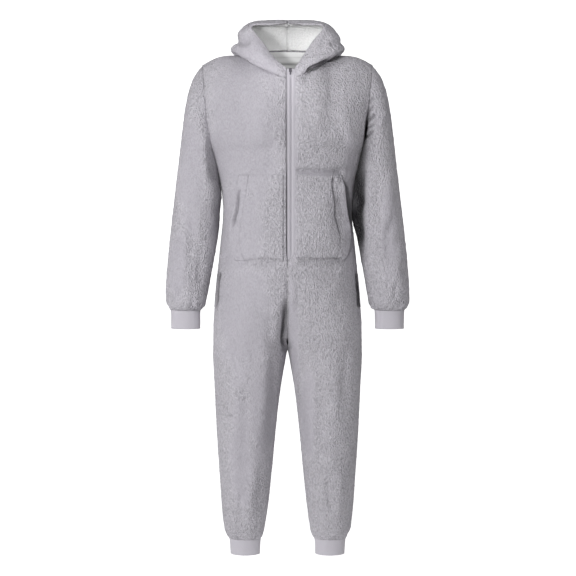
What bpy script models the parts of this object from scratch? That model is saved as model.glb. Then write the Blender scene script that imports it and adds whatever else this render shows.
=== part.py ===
"""Hooded plush onesie pajama in its worn form: hollow, in metres, +Z up, front towards -Y.

Heights in the tables are measured up from the ankle hems. The origin lies inside the shoulders,
where the wearer carries the garment, so each height is lowered by SHOULDER_HEIGHT when it is used.
Tables describe the +X half; the -X half is its mirror image, except that the zip stands off centre.
"""
import math
from collections import namedtuple

import bmesh
import bpy
from mathutils import Matrix, Vector

GARMENT = "onesie_pajama"

# Driving sizes
SHOULDER_HEIGHT = 1.525       # ankle hem to the inside of the shoulders
CUFF_WRIST_HEM = 0.703
CUFF_ANKLE_HEM = 0.0
FORK_HEIGHT = 0.640           # where the legs part
PLUSH = 0.003                 # wall of the plush fleece
LINING = 0.0020               # wall of the hood lining
KNIT = 0.003                  # wall of the doubled knit cuffs
FACING = 0.002                # wall of the back-neck facing
TAPE = 0.001                  # wall of the neck tape and zip tape
LAYER_GAP = 0.0003            # air between two layers that lie on each other
HOOD_GAP = 0.0016             # air between the hood's cloth and its lining, at neck and zip
HOOD_GAP_FADE = 2.3           # the gap is down to that of the other layers this share of the way back
SEAM_PULL = 0.00015           # each cut edge stands back this far from its seam line
WELD_LIMIT = 0.00002          # points nearer to each other than this are one point
SHARP_ANGLE = math.radians(50)

# Columns and rows of the panels' grids
ARMHOLE_STEPS = 7             # rows from underarm to shoulder, on front and back alike
NECK_FRONT_STEPS = 4
NECK_BACK_STEPS = 3
SHOULDER_STEPS = 4

# Zip: centre line, half of its visible width, and the heights of its ends
ZIP_CENTRE = 0.0085
ZIP_HALF = 0.013
ZIP_BOTTOM = 0.935
ZIP_OVERLAP = 0.003
ZIP_RECESS = 0.0042           # tape face below the plush face
LINING_SET_BACK = 0.013       # hood lining's edge behind the zip edge
COIL_HALF = 0.0025
COIL_RECESS = 0.0019
COIL_THICK = 0.0020

# Kangaroo pockets, one on each side of the zip
POCKET_BOTTOM = 0.915
POCKET_TOP = 1.170
POCKET_INSET = 0.008          # zip edge to pocket
POCKET_WELT = 0.029           # width of the band on the slanted opening
POCKET_LIFT = 0.011           # how far the opening gapes at mid height
POCKET_FADE = 0.12            # above and below, the panel's grid relaxes over this height
POCKET_COLUMNS = (1, 4)       # columns of the front panel's grid that the pocket covers
WELT_COLUMNS = (4, 5)
GAPE_SHARES = (0.0, 0.10, 0.34, 0.72, 1.0)   # share of the gape at each column, zip to opening

# Side-seam pockets, closed but for a narrow trim
SIDE_POCKET_BOTTOM = 0.768
SIDE_POCKET_TOP = 0.868
SIDE_TRIM = 0.0015            # wall of the trim
SIDE_TRIM_STAND_OFF = 0.0006
SIDE_TRIM_SHARES = (0.52, 0.84)   # its two edges, as shares of the panel's last column

Section = namedtuple("Section", "height centre_x half_width front back centre_y")
BODY_SECTIONS = (
    Section(0.050, 0.1315, 0.0500, 0.040, 0.040, 0.015),
    Section(0.072, 0.1325, 0.0590, 0.056, 0.057, 0.015),
    Section(0.105, 0.1330, 0.0660, 0.068, 0.070, 0.015),
    Section(0.168, 0.1310, 0.0725, 0.076, 0.080, 0.014),
    Section(0.266, 0.1290, 0.0805, 0.084, 0.090, 0.012),
    Section(0.350, 0.1280, 0.0870, 0.089, 0.096, 0.010),
    Section(0.430, 0.1260, 0.0930, 0.096, 0.101, 0.008),
    Section(0.511, 0.1230, 0.0990, 0.104, 0.108, 0.006),
    Section(0.575, 0.1190, 0.1065, 0.112, 0.118, 0.005),
    Section(0.615, 0.1165, 0.1110, 0.118, 0.126, 0.005),
    Section(FORK_HEIGHT, 0.1135, 0.1135, 0.122, 0.131, 0.005),
    Section(0.665, 0.1085, 0.1175, 0.127, 0.135, 0.005),
    Section(0.700, 0.1020, 0.1240, 0.134, 0.139, 0.005),
    Section(0.735, 0.0900, 0.1340, 0.140, 0.141, 0.005),
    Section(SIDE_POCKET_BOTTOM, 0.0740, 0.1480, 0.145, 0.142, 0.005),
    Section(0.818, 0.0500, 0.1680, 0.149, 0.141, 0.005),
    Section(SIDE_POCKET_TOP, 0.0260, 0.1870, 0.151, 0.137, 0.005),
    Section(POCKET_BOTTOM, 0.0100, 0.1980, 0.151, 0.131, 0.005),
    Section(ZIP_BOTTOM, 0.0050, 0.2010, 0.150, 0.129, 0.005),
    Section(0.985, 0.0, 0.2000, 0.148, 0.124, 0.005),
    Section(1.045, 0.0, 0.1935, 0.144, 0.119, 0.005),
    Section(1.105, 0.0, 0.1950, 0.141, 0.118, 0.005),
    Section(POCKET_TOP, 0.0, 0.2075, 0.139, 0.121, 0.005),
    Section(1.212, 0.0, 0.2210, 0.137, 0.124, 0.005),
    Section(1.245, 0.0, 0.2320, 0.135, 0.127, 0.005),
)

# How far the pocket's slanted edge reaches from the zip's centre line
PocketEdge = namedtuple("PocketEdge", "height reach")
POCKET_EDGES = (
    PocketEdge(POCKET_BOTTOM, 0.160),
    PocketEdge(ZIP_BOTTOM, 0.172),
    PocketEdge(0.985, 0.178),
    PocketEdge(1.045, 0.166),
    PocketEdge(1.105, 0.158),
    PocketEdge(POCKET_TOP, 0.151),
)

# Sleeve rings, each an oval between its body side (inner) and its outer side
SleeveRing = namedtuple("SleeveRing", "inner_x inner_height outer_x outer_height front back centre_y")
ARMHOLE = SleeveRing(0.2320, 1.245, 0.2560, 1.4985, 0.062, 0.060, 0.005)
SLEEVE_RINGS = (
    SleeveRing(0.2295, 1.228, 0.2830, 1.4700, 0.066, 0.064, 0.004),
    SleeveRing(0.2225, 1.198, 0.3030, 1.4100, 0.071, 0.070, 0.003),
    SleeveRing(0.2140, 1.150, 0.3150, 1.3300, 0.074, 0.074, 0.002),
    SleeveRing(0.2060, 1.090, 0.3270, 1.2300, 0.075, 0.076, 0.003),
    SleeveRing(0.2050, 1.030, 0.3400, 1.1200, 0.074, 0.076, 0.004),
    SleeveRing(0.2130, 0.970, 0.3530, 1.0200, 0.072, 0.074, 0.002),
    SleeveRing(0.2240, 0.910, 0.3620, 0.9350, 0.069, 0.071, -0.003),
    SleeveRing(0.2365, 0.845, 0.3685, 0.8600, 0.066, 0.068, -0.010),
    SleeveRing(0.2450, 0.795, 0.3710, 0.8000, 0.061, 0.062, -0.016),
    SleeveRing(0.2530, 0.770, 0.3640, 0.7720, 0.048, 0.048, -0.018),
)
WRIST_CUFF_RINGS = (
    SleeveRing(0.2640, 0.760, 0.3560, 0.7600, 0.030, 0.030, -0.019),
    SleeveRing(0.2635, 0.732, 0.3565, 0.7320, 0.030, 0.030, -0.019),
    SleeveRing(0.2650, CUFF_WRIST_HEM, 0.3550, CUFF_WRIST_HEM, 0.029, 0.029, -0.019),
)
ANKLE_CUFF_SECTIONS = (
    Section(CUFF_ANKLE_HEM, 0.1310, 0.0470, 0.036, 0.036, 0.015),
    Section(0.026, 0.1310, 0.0480, 0.038, 0.038, 0.015),
)

# Hood stations from the zip, round the neck, to the centre back. At each, the cloth leaves the
# neck seam, rolls out over the shoulder or the back, climbs its side to the crown and ends at the rim.
HoodStation = namedtuple("HoodStation", "neck roll side crown rim")
HOOD_STATIONS = (
    HoodStation((0.000, -0.113, 1.456), (0.000, -0.1115, 1.463), (0.000, -0.110, 1.470),
                (0.000, -0.1085, 1.477), (0.000, -0.107, 1.484)),
    HoodStation((0.048, -0.104, 1.469), (0.060, -0.114, 1.480), (0.066, -0.113, 1.498),
                (0.058, -0.105, 1.513), (0.044, -0.092, 1.516)),
    HoodStation((0.085, -0.080, 1.490), (0.110, -0.096, 1.504), (0.116, -0.091, 1.527),
                (0.094, -0.086, 1.551), (0.062, -0.073, 1.548)),
    HoodStation((0.107, -0.043, 1.510), (0.146, -0.054, 1.526), (0.160, -0.048, 1.549),
                (0.128, -0.054, 1.583), (0.083, -0.060, 1.578)),
    HoodStation((0.113, -0.003, 1.528), (0.157, 0.022, 1.543), (0.178, 0.020, 1.549),
                (0.150, -0.008, 1.596), (0.108, -0.044, 1.604)),
    HoodStation((0.092, 0.046, 1.540), (0.148, 0.108, 1.520), (0.166, 0.116, 1.549),
                (0.132, 0.048, 1.628), (0.106, -0.030, 1.6190)),
    HoodStation((0.052, 0.076, 1.545), (0.087, 0.156, 1.494), (0.100, 0.174, 1.546),
                (0.090, 0.078, 1.641), (0.056, -0.023, 1.6205)),
    HoodStation((0.000, 0.086, 1.5466), (0.000, 0.168, 1.484), (0.000, 0.194, 1.544),
                (0.000, 0.086, 1.642), (0.000, -0.021, 1.6205)),
)
HOOD_ROWS = 7                 # rows of cloth between neck seam and rim
CREASE_LIMIT = 0.0            # panels facing further apart than this cosine share no normal
FACING_ROWS = 3               # rows of the back panel that the back-neck facing covers
MITRE_LIMIT = 0.6             # least cosine that a wall is lengthened for

SHOULDER_ARCH = 0.0165        # rise of the shoulder seam above a straight line
ARCH_LEAN = 1.5               # above 1, the rise is greatest nearer to the armhole
FRONT_SWELL = 0.030           # how far the chest rounds out between neck, armhole and zip
BACK_SWELL = 0.026
CENTRE_SWELL = 0.006

# Zip slider and pull tab
SLIDER_LENGTH = 0.011
SLIDER_WIDTH = 0.0085
SLIDER_THICK = 0.0026
PIN_RADIUS = 0.0005
PIN_STAND_OFF = 0.0022        # pin centre in front of the slider's face
PIN_HEIGHT_SHARE = 0.28       # pin above the slider's middle, as a share of its length
SLIDER_BEVEL = 0.0006
LUG_WIDTH = 0.0010
LUG_HEIGHT = 0.0022
TAB_EYE_RADIUS = 0.0015
TAB_HOLE_RADIUS = 0.0009
TAB_WIDTH = 0.0046
TAB_LENGTH = 0.0180
TAB_THICK = 0.0012
ROUND_SEGMENTS = 12
FOOT_SEGMENTS = 4             # round the tab's lower end

# name: (colour in linear RGB, roughness, metallic)
FINISHES = {
    "plush_grey": ((0.455, 0.440, 0.470), 0.95, 0.0),
    "lining_white": ((0.800, 0.800, 0.790), 0.95, 0.0),
    "knit_grey": ((0.440, 0.425, 0.455), 0.90, 0.0),
    "facing_white": ((0.640, 0.640, 0.640), 0.90, 0.0),
    "zip_tape_grey": ((0.420, 0.405, 0.440), 0.80, 0.0),
    "zip_coil_grey": ((0.250, 0.240, 0.265), 0.50, 0.0),
    "zip_metal": ((0.120, 0.115, 0.125), 0.40, 0.8),
}


def clear_scene():
    for old in list(bpy.data.objects):
        bpy.data.objects.remove(old, do_unlink=True)


def make_collection():
    collection = bpy.data.collections.new(GARMENT)
    bpy.context.scene.collection.children.link(collection)
    return collection


def finish(name):
    """The named Principled material, made once."""
    material = bpy.data.materials.get(name)
    if material is None:
        colour, roughness, metallic = FINISHES[name]
        material = bpy.data.materials.new(name)
        material.use_nodes = True
        shader = material.node_tree.nodes["Principled BSDF"]
        shader.inputs["Base Color"].default_value = (*colour, 1.0)
        shader.inputs["Roughness"].default_value = roughness
        shader.inputs["Metallic"].default_value = metallic
        material.diffuse_color = (*colour, 1.0)
    return material


def place(x, y, height):
    return Vector((x, y, height - SHOULDER_HEIGHT))


def blend(a, b, share):
    return a + (b - a) * share


def table_value(table, height, column):
    """A column's value at a height, straight between the rows and held past the ends."""
    if height <= table[0].height:
        return getattr(table[0], column)
    for low, high in zip(table, table[1:]):
        if height <= high.height:
            share = (height - low.height) / (high.height - low.height)
            return blend(getattr(low, column), getattr(high, column), share)
    return getattr(table[-1], column)


# --- Body panels -------------------------------------------------------------------------------

def angle_at(section, x):
    """The angle round a section, from centre front, at which it reaches x."""
    return math.asin(max(-1.0, min(1.0, (x - section.centre_x) / section.half_width)))


def section_point(section, angle):
    depth = section.front if math.cos(angle) > 0.0 else section.back
    x = section.centre_x + section.half_width * math.sin(angle)
    return place(x, section.centre_y - depth * math.cos(angle), section.height)


def zip_edge(height, side):
    """How far from the centre plane a front panel's centre edge lies, on its own side."""
    if height < ZIP_BOTTOM:
        return 0.0
    return ZIP_CENTRE * side + ZIP_HALF


def front_angles(section, side):
    """Angles of the front panel's columns; between the pocket's heights some follow its edges."""
    start = angle_at(section, zip_edge(section.height, side))
    columns = NECK_FRONT_STEPS + SHOULDER_STEPS
    even = [blend(start, math.pi / 2, j / columns) for j in range(columns + 1)]
    height = section.height
    distance = max(POCKET_BOTTOM - height, height - POCKET_TOP, 0.0)
    weight = max(0.0, 1.0 - distance / POCKET_FADE)
    if weight == 0.0:
        return even
    zip_side = ZIP_CENTRE * side
    inner = angle_at(section, zip_side + ZIP_HALF + POCKET_INSET)
    opening_x = zip_side + table_value(POCKET_EDGES, height, "reach")
    welt = angle_at(section, opening_x - POCKET_WELT)
    opening = angle_at(section, opening_x)
    fitted = [start, inner, blend(inner, welt, 1 / 3), blend(inner, welt, 2 / 3), welt, opening]
    rest = columns - len(fitted) + 1
    fitted += [blend(opening, math.pi / 2, k / rest) for k in range(1, rest + 1)]
    return [blend(a, b, weight) for a, b in zip(even, fitted)]


def back_angles(section):
    """Angles of the back panel's columns, from the side seam round to the centre back."""
    columns = NECK_BACK_STEPS + SHOULDER_STEPS
    end = math.pi - angle_at(section, 0.0)
    return [blend(math.pi / 2, end, j / columns) for j in range(columns + 1)]


def armhole_share(row):
    """Share of the way from underarm to shoulder, even round the oval armhole."""
    return (1.0 - math.cos(math.pi * row / ARMHOLE_STEPS)) / 2.0


def ring_point(ring, angle):
    """A point round a sleeve ring: angle 0 at its body side, then front, outer side and back."""
    inner = place(ring.inner_x, ring.centre_y, ring.inner_height)
    outer = place(ring.outer_x, ring.centre_y, ring.outer_height)
    depth = ring.front if math.sin(angle) > 0.0 else ring.back
    share = (1.0 - math.cos(angle)) / 2.0
    return blend(inner, outer, share) - Vector((0.0, depth * math.sin(angle), 0.0))


def neck_points(side):
    """The neck seam from the zip to the centre back."""
    points = [place(*station.neck) for station in HOOD_STATIONS]
    points[0].x = zip_edge(ZIP_BOTTOM, side)
    return points


def shoulder_points(side):
    """The shoulder seam from the neck to the armhole."""
    start = neck_points(side)[NECK_FRONT_STEPS]
    end = ring_point(ARMHOLE, math.pi)
    points = []
    for step in range(SHOULDER_STEPS + 1):
        share = step / SHOULDER_STEPS
        rise = SHOULDER_ARCH * math.sin(math.pi * share ** ARCH_LEAN)
        points.append(blend(start, end, share) + Vector((0.0, 0.0, rise)))
    return points


def upper_rows(bottom, top, armhole, swell):
    """Rows from the chest to the shoulder, blended between the panel's four edges.

    The edges are given from centre to side; swell moves the middle of the panel along Y.
    """
    last = len(bottom) - 1
    rows = []
    for row in range(1, ARMHOLE_STEPS + 1):
        up = armhole_share(row)
        rise = math.sin(math.pi * up)
        centre = blend(bottom[0], top[0], up)
        centre = centre + Vector((0.0, math.copysign(CENTRE_SWELL, swell) * rise, 0.0))
        line = []
        for j in range(last + 1):
            across = j / last
            ruled = blend(bottom[j], top[j], up)
            sides = blend(centre, armhole[row], across)
            corners = blend(blend(bottom[0], top[0], up), blend(bottom[last], top[last], up), across)
            bulge = swell * rise * math.sin(math.pi * across)
            line.append(ruled + sides - corners + Vector((0.0, bulge, 0.0)))
        rows.append(line)
    return rows


def front_grid(side):
    rows = [[section_point(s, t) for t in front_angles(s, side)] for s in BODY_SECTIONS]
    top = neck_points(side)[:NECK_FRONT_STEPS] + shoulder_points(side)
    armhole = [ring_point(ARMHOLE, math.pi * k / ARMHOLE_STEPS) for k in range(ARMHOLE_STEPS + 1)]
    return rows + upper_rows(rows[-1], top, armhole, -FRONT_SWELL)


def back_grid(side):
    """The back panel, from its side seam to the centre back."""
    rows = [[section_point(s, t) for t in back_angles(s)] for s in BODY_SECTIONS]
    neck = neck_points(side)[NECK_FRONT_STEPS:]
    top = neck[:0:-1] + shoulder_points(side)
    armhole = [ring_point(ARMHOLE, -math.pi * k / ARMHOLE_STEPS) for k in range(ARMHOLE_STEPS + 1)]
    upper = upper_rows(rows[-1][::-1], top, armhole, BACK_SWELL)
    return rows + [line[::-1] for line in upper]


# --- Sleeves, cuffs and hood -------------------------------------------------------------------

def ring_row(ring):
    count = 2 * ARMHOLE_STEPS
    return [ring_point(ring, 2.0 * math.pi * k / count) for k in range(count)]


def sleeve_grid():
    """Rings from the cuff seam up to the armhole."""
    rings = (ARMHOLE,) + SLEEVE_RINGS + WRIST_CUFF_RINGS[:1]
    return [ring_row(ring) for ring in reversed(rings)]


def wrist_cuff_grid():
    return [ring_row(ring) for ring in reversed(WRIST_CUFF_RINGS)]


def leg_ring(section, side):
    """All the columns of a leg: the front ones, then the back ones without the shared seams."""
    angles = front_angles(section, side) + back_angles(section)[1:-1]
    return [section_point(section, angle) for angle in angles]


def ankle_cuff_grid(side):
    return [leg_ring(section, side) for section in ANKLE_CUFF_SECTIONS + BODY_SECTIONS[:1]]


def smooth_path(points, steps):
    """Points spaced evenly in parameter along a Catmull-Rom curve through the given ones."""
    ends = [points[0] * 2 - points[1]] + points + [points[-1] * 2 - points[-2]]
    path = []
    for step in range(steps + 1):
        place_on = step / steps * (len(points) - 1)
        k = min(int(place_on), len(points) - 2)
        t = place_on - k
        a, b, c, d = ends[k:k + 4]
        path.append(0.5 * (2 * b + (c - a) * t + (2 * a - 5 * b + 4 * c - d) * t * t
                           + (3 * b - a - 3 * c + d) * t ** 3))
    return path


def hood_grid(side):
    """Rows from the neck seam to the rim; columns from the zip round to the centre back."""
    columns = []
    for number, station in enumerate(HOOD_STATIONS):
        points = [place(*point) for point in station]
        if number == 0:
            for point in points:
                point.x = zip_edge(ZIP_BOTTOM, side)
        columns.append(smooth_path(points, HOOD_ROWS))
    return [list(line) for line in zip(*columns)]


# --- Walls -------------------------------------------------------------------------------------

def mirrored(grid, side):
    return [[Vector((p.x * side, p.y, p.z)) for p in line] for line in grid]


class SharedNormals:
    """Outward directions at grid points, averaged over the panels that meet there.

    Panels that share a seam so give their walls the same slope at it, and their edges stay parallel.
    Where two panels meet in a deep crease, as under the arm, each keeps its own direction.
    """

    def __init__(self):
        self.faces = {}

    @staticmethod
    def key(point):
        return tuple(round(value / (2.5 * WELD_LIMIT)) for value in point)

    def add(self, panel, grid, side, closed=False):
        width = len(grid[0])
        for low, high in zip(grid, grid[1:]):
            for j in range(width if closed else width - 1):
                corners = (low[j], low[(j + 1) % width], high[(j + 1) % width], high[j])
                across = corners[2] - corners[0]
                up = corners[3] - corners[1]
                normal = across.cross(up) * side
                for corner in corners:
                    here = self.faces.setdefault(self.key(corner), {})
                    here.setdefault(panel, []).append(normal.normalized())

    def at(self, panel, point):
        """The mean outward direction, lengthened so that the wall keeps its thickness at creases."""
        here = self.faces[self.key(point)]
        means = {name: sum(normals, Vector()).normalized() for name, normals in here.items()}
        joined = [name for name in here if means[name].dot(means[panel]) > CREASE_LIMIT]
        normals = [normal for name in joined for normal in here[name]]
        mean = sum(normals, Vector()).normalized()
        spread = sum(mean.dot(normal) for normal in normals) / len(normals)
        return mean / max(spread, MITRE_LIMIT)


def depth_grid(grid, depth):
    """A depth for each point: one number, or a function of row and column shares."""
    if not callable(depth):
        return [[depth] * len(line) for line in grid]
    rows, columns = len(grid) - 1, len(grid[0]) - 1
    return [[depth(i / rows, j / columns) for j in range(columns + 1)] for i in range(rows + 1)]


def pulled(grid, closed):
    """Each point's small step back from the edges of the panel, towards its inside."""
    rows, columns = len(grid), len(grid[0])
    steps = [[Vector() for _ in line] for line in grid]
    for i in range(rows):
        for j in range(columns):
            neighbours = []
            if i == 0:
                neighbours.append(grid[1][j])
            if i == rows - 1:
                neighbours.append(grid[i - 1][j])
            if j == 0 and not closed:
                neighbours.append(grid[i][1])
            if j == columns - 1 and not closed:
                neighbours.append(grid[i][j - 1])
            for neighbour in neighbours:
                steps[i][j] += (neighbour - grid[i][j]).normalized() * SEAM_PULL
    return steps


def wall(collection, name, material, grid, normals, depths, closed=False):
    """A closed cloth wall between two depths under a grid of points.

    depths is (face, back): how far each side of the cloth lies under the grid, minus for above it.
    """
    rows, columns = len(grid), len(grid[0])
    steps = pulled(grid, closed)
    bm = bmesh.new()
    layers = []
    for depth in depths:
        under = depth_grid(grid, depth)
        layers.append([[bm.verts.new(grid[i][j] + steps[i][j] - normals[i][j] * under[i][j])
                        for j in range(columns)] for i in range(rows)])
    face, back = layers
    spans = columns if closed else columns - 1
    for i in range(rows - 1):
        for j in range(spans):
            k = (j + 1) % columns
            bm.faces.new((face[i][j], face[i][k], face[i + 1][k], face[i + 1][j]))
            bm.faces.new((back[i][j], back[i + 1][j], back[i + 1][k], back[i][k]))
    for j in range(spans):
        k = (j + 1) % columns
        bm.faces.new((face[0][j], back[0][j], back[0][k], face[0][k]))
        bm.faces.new((face[-1][j], face[-1][k], back[-1][k], back[-1][j]))
    if not closed:
        for i in range(rows - 1):
            bm.faces.new((face[i][0], face[i + 1][0], back[i + 1][0], back[i][0]))
            bm.faces.new((face[i][-1], back[i][-1], back[i + 1][-1], face[i + 1][-1]))
    bmesh.ops.recalc_face_normals(bm, faces=bm.faces)
    split_alike(bm, face, back, columns, spans)
    return add_object(collection, name, material, bm)


def split_alike(bm, face, back, columns, spans):
    """Splits every bent quad along the same diagonal, so that layers on one grid stay parallel."""
    for layer in (face, back):
        for low, high in zip(layer, layer[1:]):
            for j in range(spans):
                k = (j + 1) % columns
                quad = bm.faces.get((low[j], low[k], high[k], high[j]))
                bmesh.utils.face_split(quad, low[j], high[k])


def add_object(collection, name, material, bm):
    mesh = bpy.data.meshes.new(name)
    bm.to_mesh(mesh)
    bm.free()
    mesh.materials.append(finish(material))
    mesh.shade_smooth()
    mesh.set_sharp_from_angle(angle=SHARP_ANGLE)
    item = bpy.data.objects.new(name, mesh)
    collection.objects.link(item)
    return item


def normals_on(shared, panel, grid):
    return [[shared.at(panel, point) for point in line] for line in grid]


# --- What lies on the panels, and inside the neck and hood -------------------------------------

def row_of(height):
    """Which row of a body panel lies at a section's height."""
    return [section.height for section in BODY_SECTIONS].index(height)


def part_of(grid, rows, columns):
    return [line[columns[0]:columns[1] + 1] for line in grid[rows[0]:rows[1] + 1]]


def pocket_clearance(first_column, spans, extra):
    """Height of the pocket cloth over the panel: laid flat on three sides, gaping at its opening."""
    def depth(up, across):
        column = first_column + across * spans - POCKET_COLUMNS[0]
        gape = GAPE_SHARES[round(column)] * math.sin(math.pi * up) * POCKET_LIFT
        return -(LAYER_GAP + gape + extra)
    return depth


def add_pocket(collection, name, grid, normals, columns, material):
    rows = (row_of(POCKET_BOTTOM), row_of(POCKET_TOP))
    spans = columns[1] - columns[0]
    depths = (pocket_clearance(columns[0], spans, PLUSH), pocket_clearance(columns[0], spans, 0.0))
    wall(collection, name, material, part_of(grid, rows, columns), part_of(normals, rows, columns),
         depths)


def add_side_pocket_trim(collection, name, grid, normals):
    """A narrow trim just in front of the side seam, within the last column of the front panel."""
    rows = (row_of(SIDE_POCKET_BOTTOM), row_of(SIDE_POCKET_TOP))
    covered = slice(rows[0], rows[1] + 1)
    points = [[blend(line[-2], line[-1], share) for share in SIDE_TRIM_SHARES]
              for line in grid[covered]]
    slopes = [[blend(line[-2], line[-1], share) for share in SIDE_TRIM_SHARES]
              for line in normals[covered]]
    face = -(SIDE_TRIM_STAND_OFF + SIDE_TRIM)
    wall(collection, name, "plush_grey", points, slopes, (face, -SIDE_TRIM_STAND_OFF))


def zip_line(front, hood):
    """Points on the zip's centre line, from just under its bottom end to its top."""
    first = row_of(POCKET_BOTTOM)
    points = [line[0].copy() for line in front[first:]] + [line[0].copy() for line in hood[1:]]
    points[0].z -= ZIP_HALF
    for point in points:
        point.x = ZIP_CENTRE
    return points


def add_zip_strip(collection, name, material, line, edges, recess, thickness):
    grid = [[Vector((x, point.y, point.z)) for x in edges] for point in line]
    slopes = []
    for i, row in enumerate(grid):
        along = grid[min(i + 1, len(grid) - 1)][0] - grid[max(i - 1, 0)][0]
        slope = Vector((1.0, 0.0, 0.0)).cross(along).normalized()
        slopes.append([slope] * len(row))
    wall(collection, name, material, grid, slopes, (recess, recess + thickness))


def add_zip(collection, front, hood):
    line = zip_line(front, hood)
    left = ZIP_CENTRE - ZIP_HALF - ZIP_OVERLAP
    right = ZIP_CENTRE + ZIP_HALF + ZIP_OVERLAP
    add_zip_strip(collection, "zip_tape_left", "zip_tape_grey", line, (left, ZIP_CENTRE),
                  ZIP_RECESS, TAPE)
    add_zip_strip(collection, "zip_tape_right", "zip_tape_grey", line, (ZIP_CENTRE, right),
                  ZIP_RECESS, TAPE)
    add_zip_strip(collection, "zip_coil", "zip_coil_grey", line[1:],
                  (ZIP_CENTRE - COIL_HALF, ZIP_CENTRE + COIL_HALF), COIL_RECESS, COIL_THICK)
    return line


def box_mesh(size, centre):
    bm = bmesh.new()
    bmesh.ops.create_cube(bm, size=1.0)
    bmesh.ops.scale(bm, vec=size, verts=bm.verts)
    bmesh.ops.translate(bm, vec=centre, verts=bm.verts)
    return bm


def join_shape(target, bm, name):
    """Adds a closed shape to an object with a Boolean union."""
    mesh = bpy.data.meshes.new(name)
    bm.to_mesh(mesh)
    bm.free()
    tool = bpy.data.objects.new(name, mesh)
    tool.hide_render = True
    tool.display_type = "WIRE"
    cutters = bpy.data.collections.get("joining_shapes") or bpy.data.collections.new("joining_shapes")
    if cutters.name not in bpy.context.scene.collection.children:
        bpy.context.scene.collection.children.link(cutters)
    cutters.objects.link(tool)
    modifier = target.modifiers.new(name, "BOOLEAN")
    modifier.operation = "UNION"
    modifier.object = tool


def zip_frame(line):
    """A frame on the coil's face at the slider: X across, Y out of the cloth, Z up the zip."""
    top, below = line[-1], line[-2]
    along = (top - below).normalized()
    out = along.cross(Vector((1.0, 0.0, 0.0))).normalized()
    if out.y > 0.0:
        out = -out
    origin = top - along * (SLIDER_LENGTH / 2) - out * COIL_RECESS
    across = out.cross(along)
    return Matrix.Translation(origin) @ Matrix((across, out, along)).transposed().to_4x4()


def add_slider(collection, frame):
    """The slider at the top of the zip: its body, two lugs and the pin that carries the pull tab."""
    middle = LAYER_GAP + SLIDER_THICK / 2
    body = box_mesh((SLIDER_WIDTH, SLIDER_THICK, SLIDER_LENGTH), (0.0, middle, 0.0))
    bmesh.ops.bevel(body, geom=body.edges[:], offset=SLIDER_BEVEL, segments=2, profile=0.5,
                    affect="EDGES", material=-1)
    bmesh.ops.transform(body, matrix=frame, verts=body.verts)
    slider = add_object(collection, "zip_slider", "zip_metal", body)
    pin_at = pin_place()
    reach = PIN_STAND_OFF + 2 * PIN_RADIUS + SLIDER_BEVEL
    for side, word in ((-1, "left"), (1, "right")):
        lug_x = side * (SLIDER_WIDTH / 2 - LUG_WIDTH)
        lug_y = LAYER_GAP + SLIDER_THICK - SLIDER_BEVEL + reach / 2
        lug = box_mesh((LUG_WIDTH, reach, LUG_HEIGHT), (lug_x, lug_y, pin_at.z))
        bmesh.ops.transform(lug, matrix=frame, verts=lug.verts)
        join_shape(slider, lug, "slider_lug_" + word)
    pin = bmesh.new()
    bmesh.ops.create_cone(pin, cap_ends=True, segments=ROUND_SEGMENTS, radius1=PIN_RADIUS,
                          radius2=PIN_RADIUS, depth=SLIDER_WIDTH - 2 * LUG_WIDTH)
    bmesh.ops.rotate(pin, matrix=Matrix.Rotation(math.pi / 2, 3, "Y"), verts=pin.verts)
    bmesh.ops.translate(pin, vec=pin_at, verts=pin.verts)
    bmesh.ops.transform(pin, matrix=frame, verts=pin.verts)
    join_shape(slider, pin, "slider_pin")


def pin_place():
    """The pin's centre in the slider's frame."""
    return Vector((0.0, LAYER_GAP + SLIDER_THICK + PIN_STAND_OFF, SLIDER_LENGTH * PIN_HEIGHT_SHARE))


def circle_points(centre, radius, start, end, steps):
    return [(centre[0] + radius * math.cos(blend(start, end, k / steps)),
             centre[1] + radius * math.sin(blend(start, end, k / steps)), 0.0)
            for k in range(steps + 1)]


def add_outline(curve, points):
    spline = curve.splines.new("POLY")
    spline.points.add(len(points) - 1)
    for target, point in zip(spline.points, points):
        target.co = (*point, 1.0)
    spline.use_cyclic_u = True


def add_pull_tab(collection, frame):
    """A flat tab with a rolled eye round the slider's pin; its origin is on the pin's axis."""
    curve = bpy.data.curves.new("zip_pull_tab", "CURVE")
    curve.dimensions = "2D"
    curve.fill_mode = "BOTH"
    curve.extrude = TAB_WIDTH / 2
    half = TAB_THICK / 2
    root = math.asin(half / TAB_EYE_RADIUS)
    start, end = -math.pi / 2 + root, 3 * math.pi / 2 - root
    outline = circle_points((0.0, 0.0), TAB_EYE_RADIUS, start, end, ROUND_SEGMENTS)
    outline += circle_points((0.0, half - TAB_LENGTH), half, math.pi, 2.0 * math.pi,
                             FOOT_SEGMENTS)
    add_outline(curve, outline)
    hole = circle_points((0.0, 0.0), TAB_HOLE_RADIUS, 0.0, 2.0 * math.pi, ROUND_SEGMENTS)
    add_outline(curve, hole[:-1])
    curve.materials.append(finish("zip_metal"))
    tab = bpy.data.objects.new("zip_pull_tab", curve)
    collection.objects.link(tab)
    on_edge = Matrix(((0.0, 0.0, 1.0), (1.0, 0.0, 0.0), (0.0, 1.0, 0.0))).to_4x4()
    tab.matrix_world = frame @ Matrix.Translation(pin_place()) @ on_edge
    weld = tab.modifiers.new("weld_caps", "WELD")
    weld.merge_threshold = WELD_LIMIT


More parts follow.
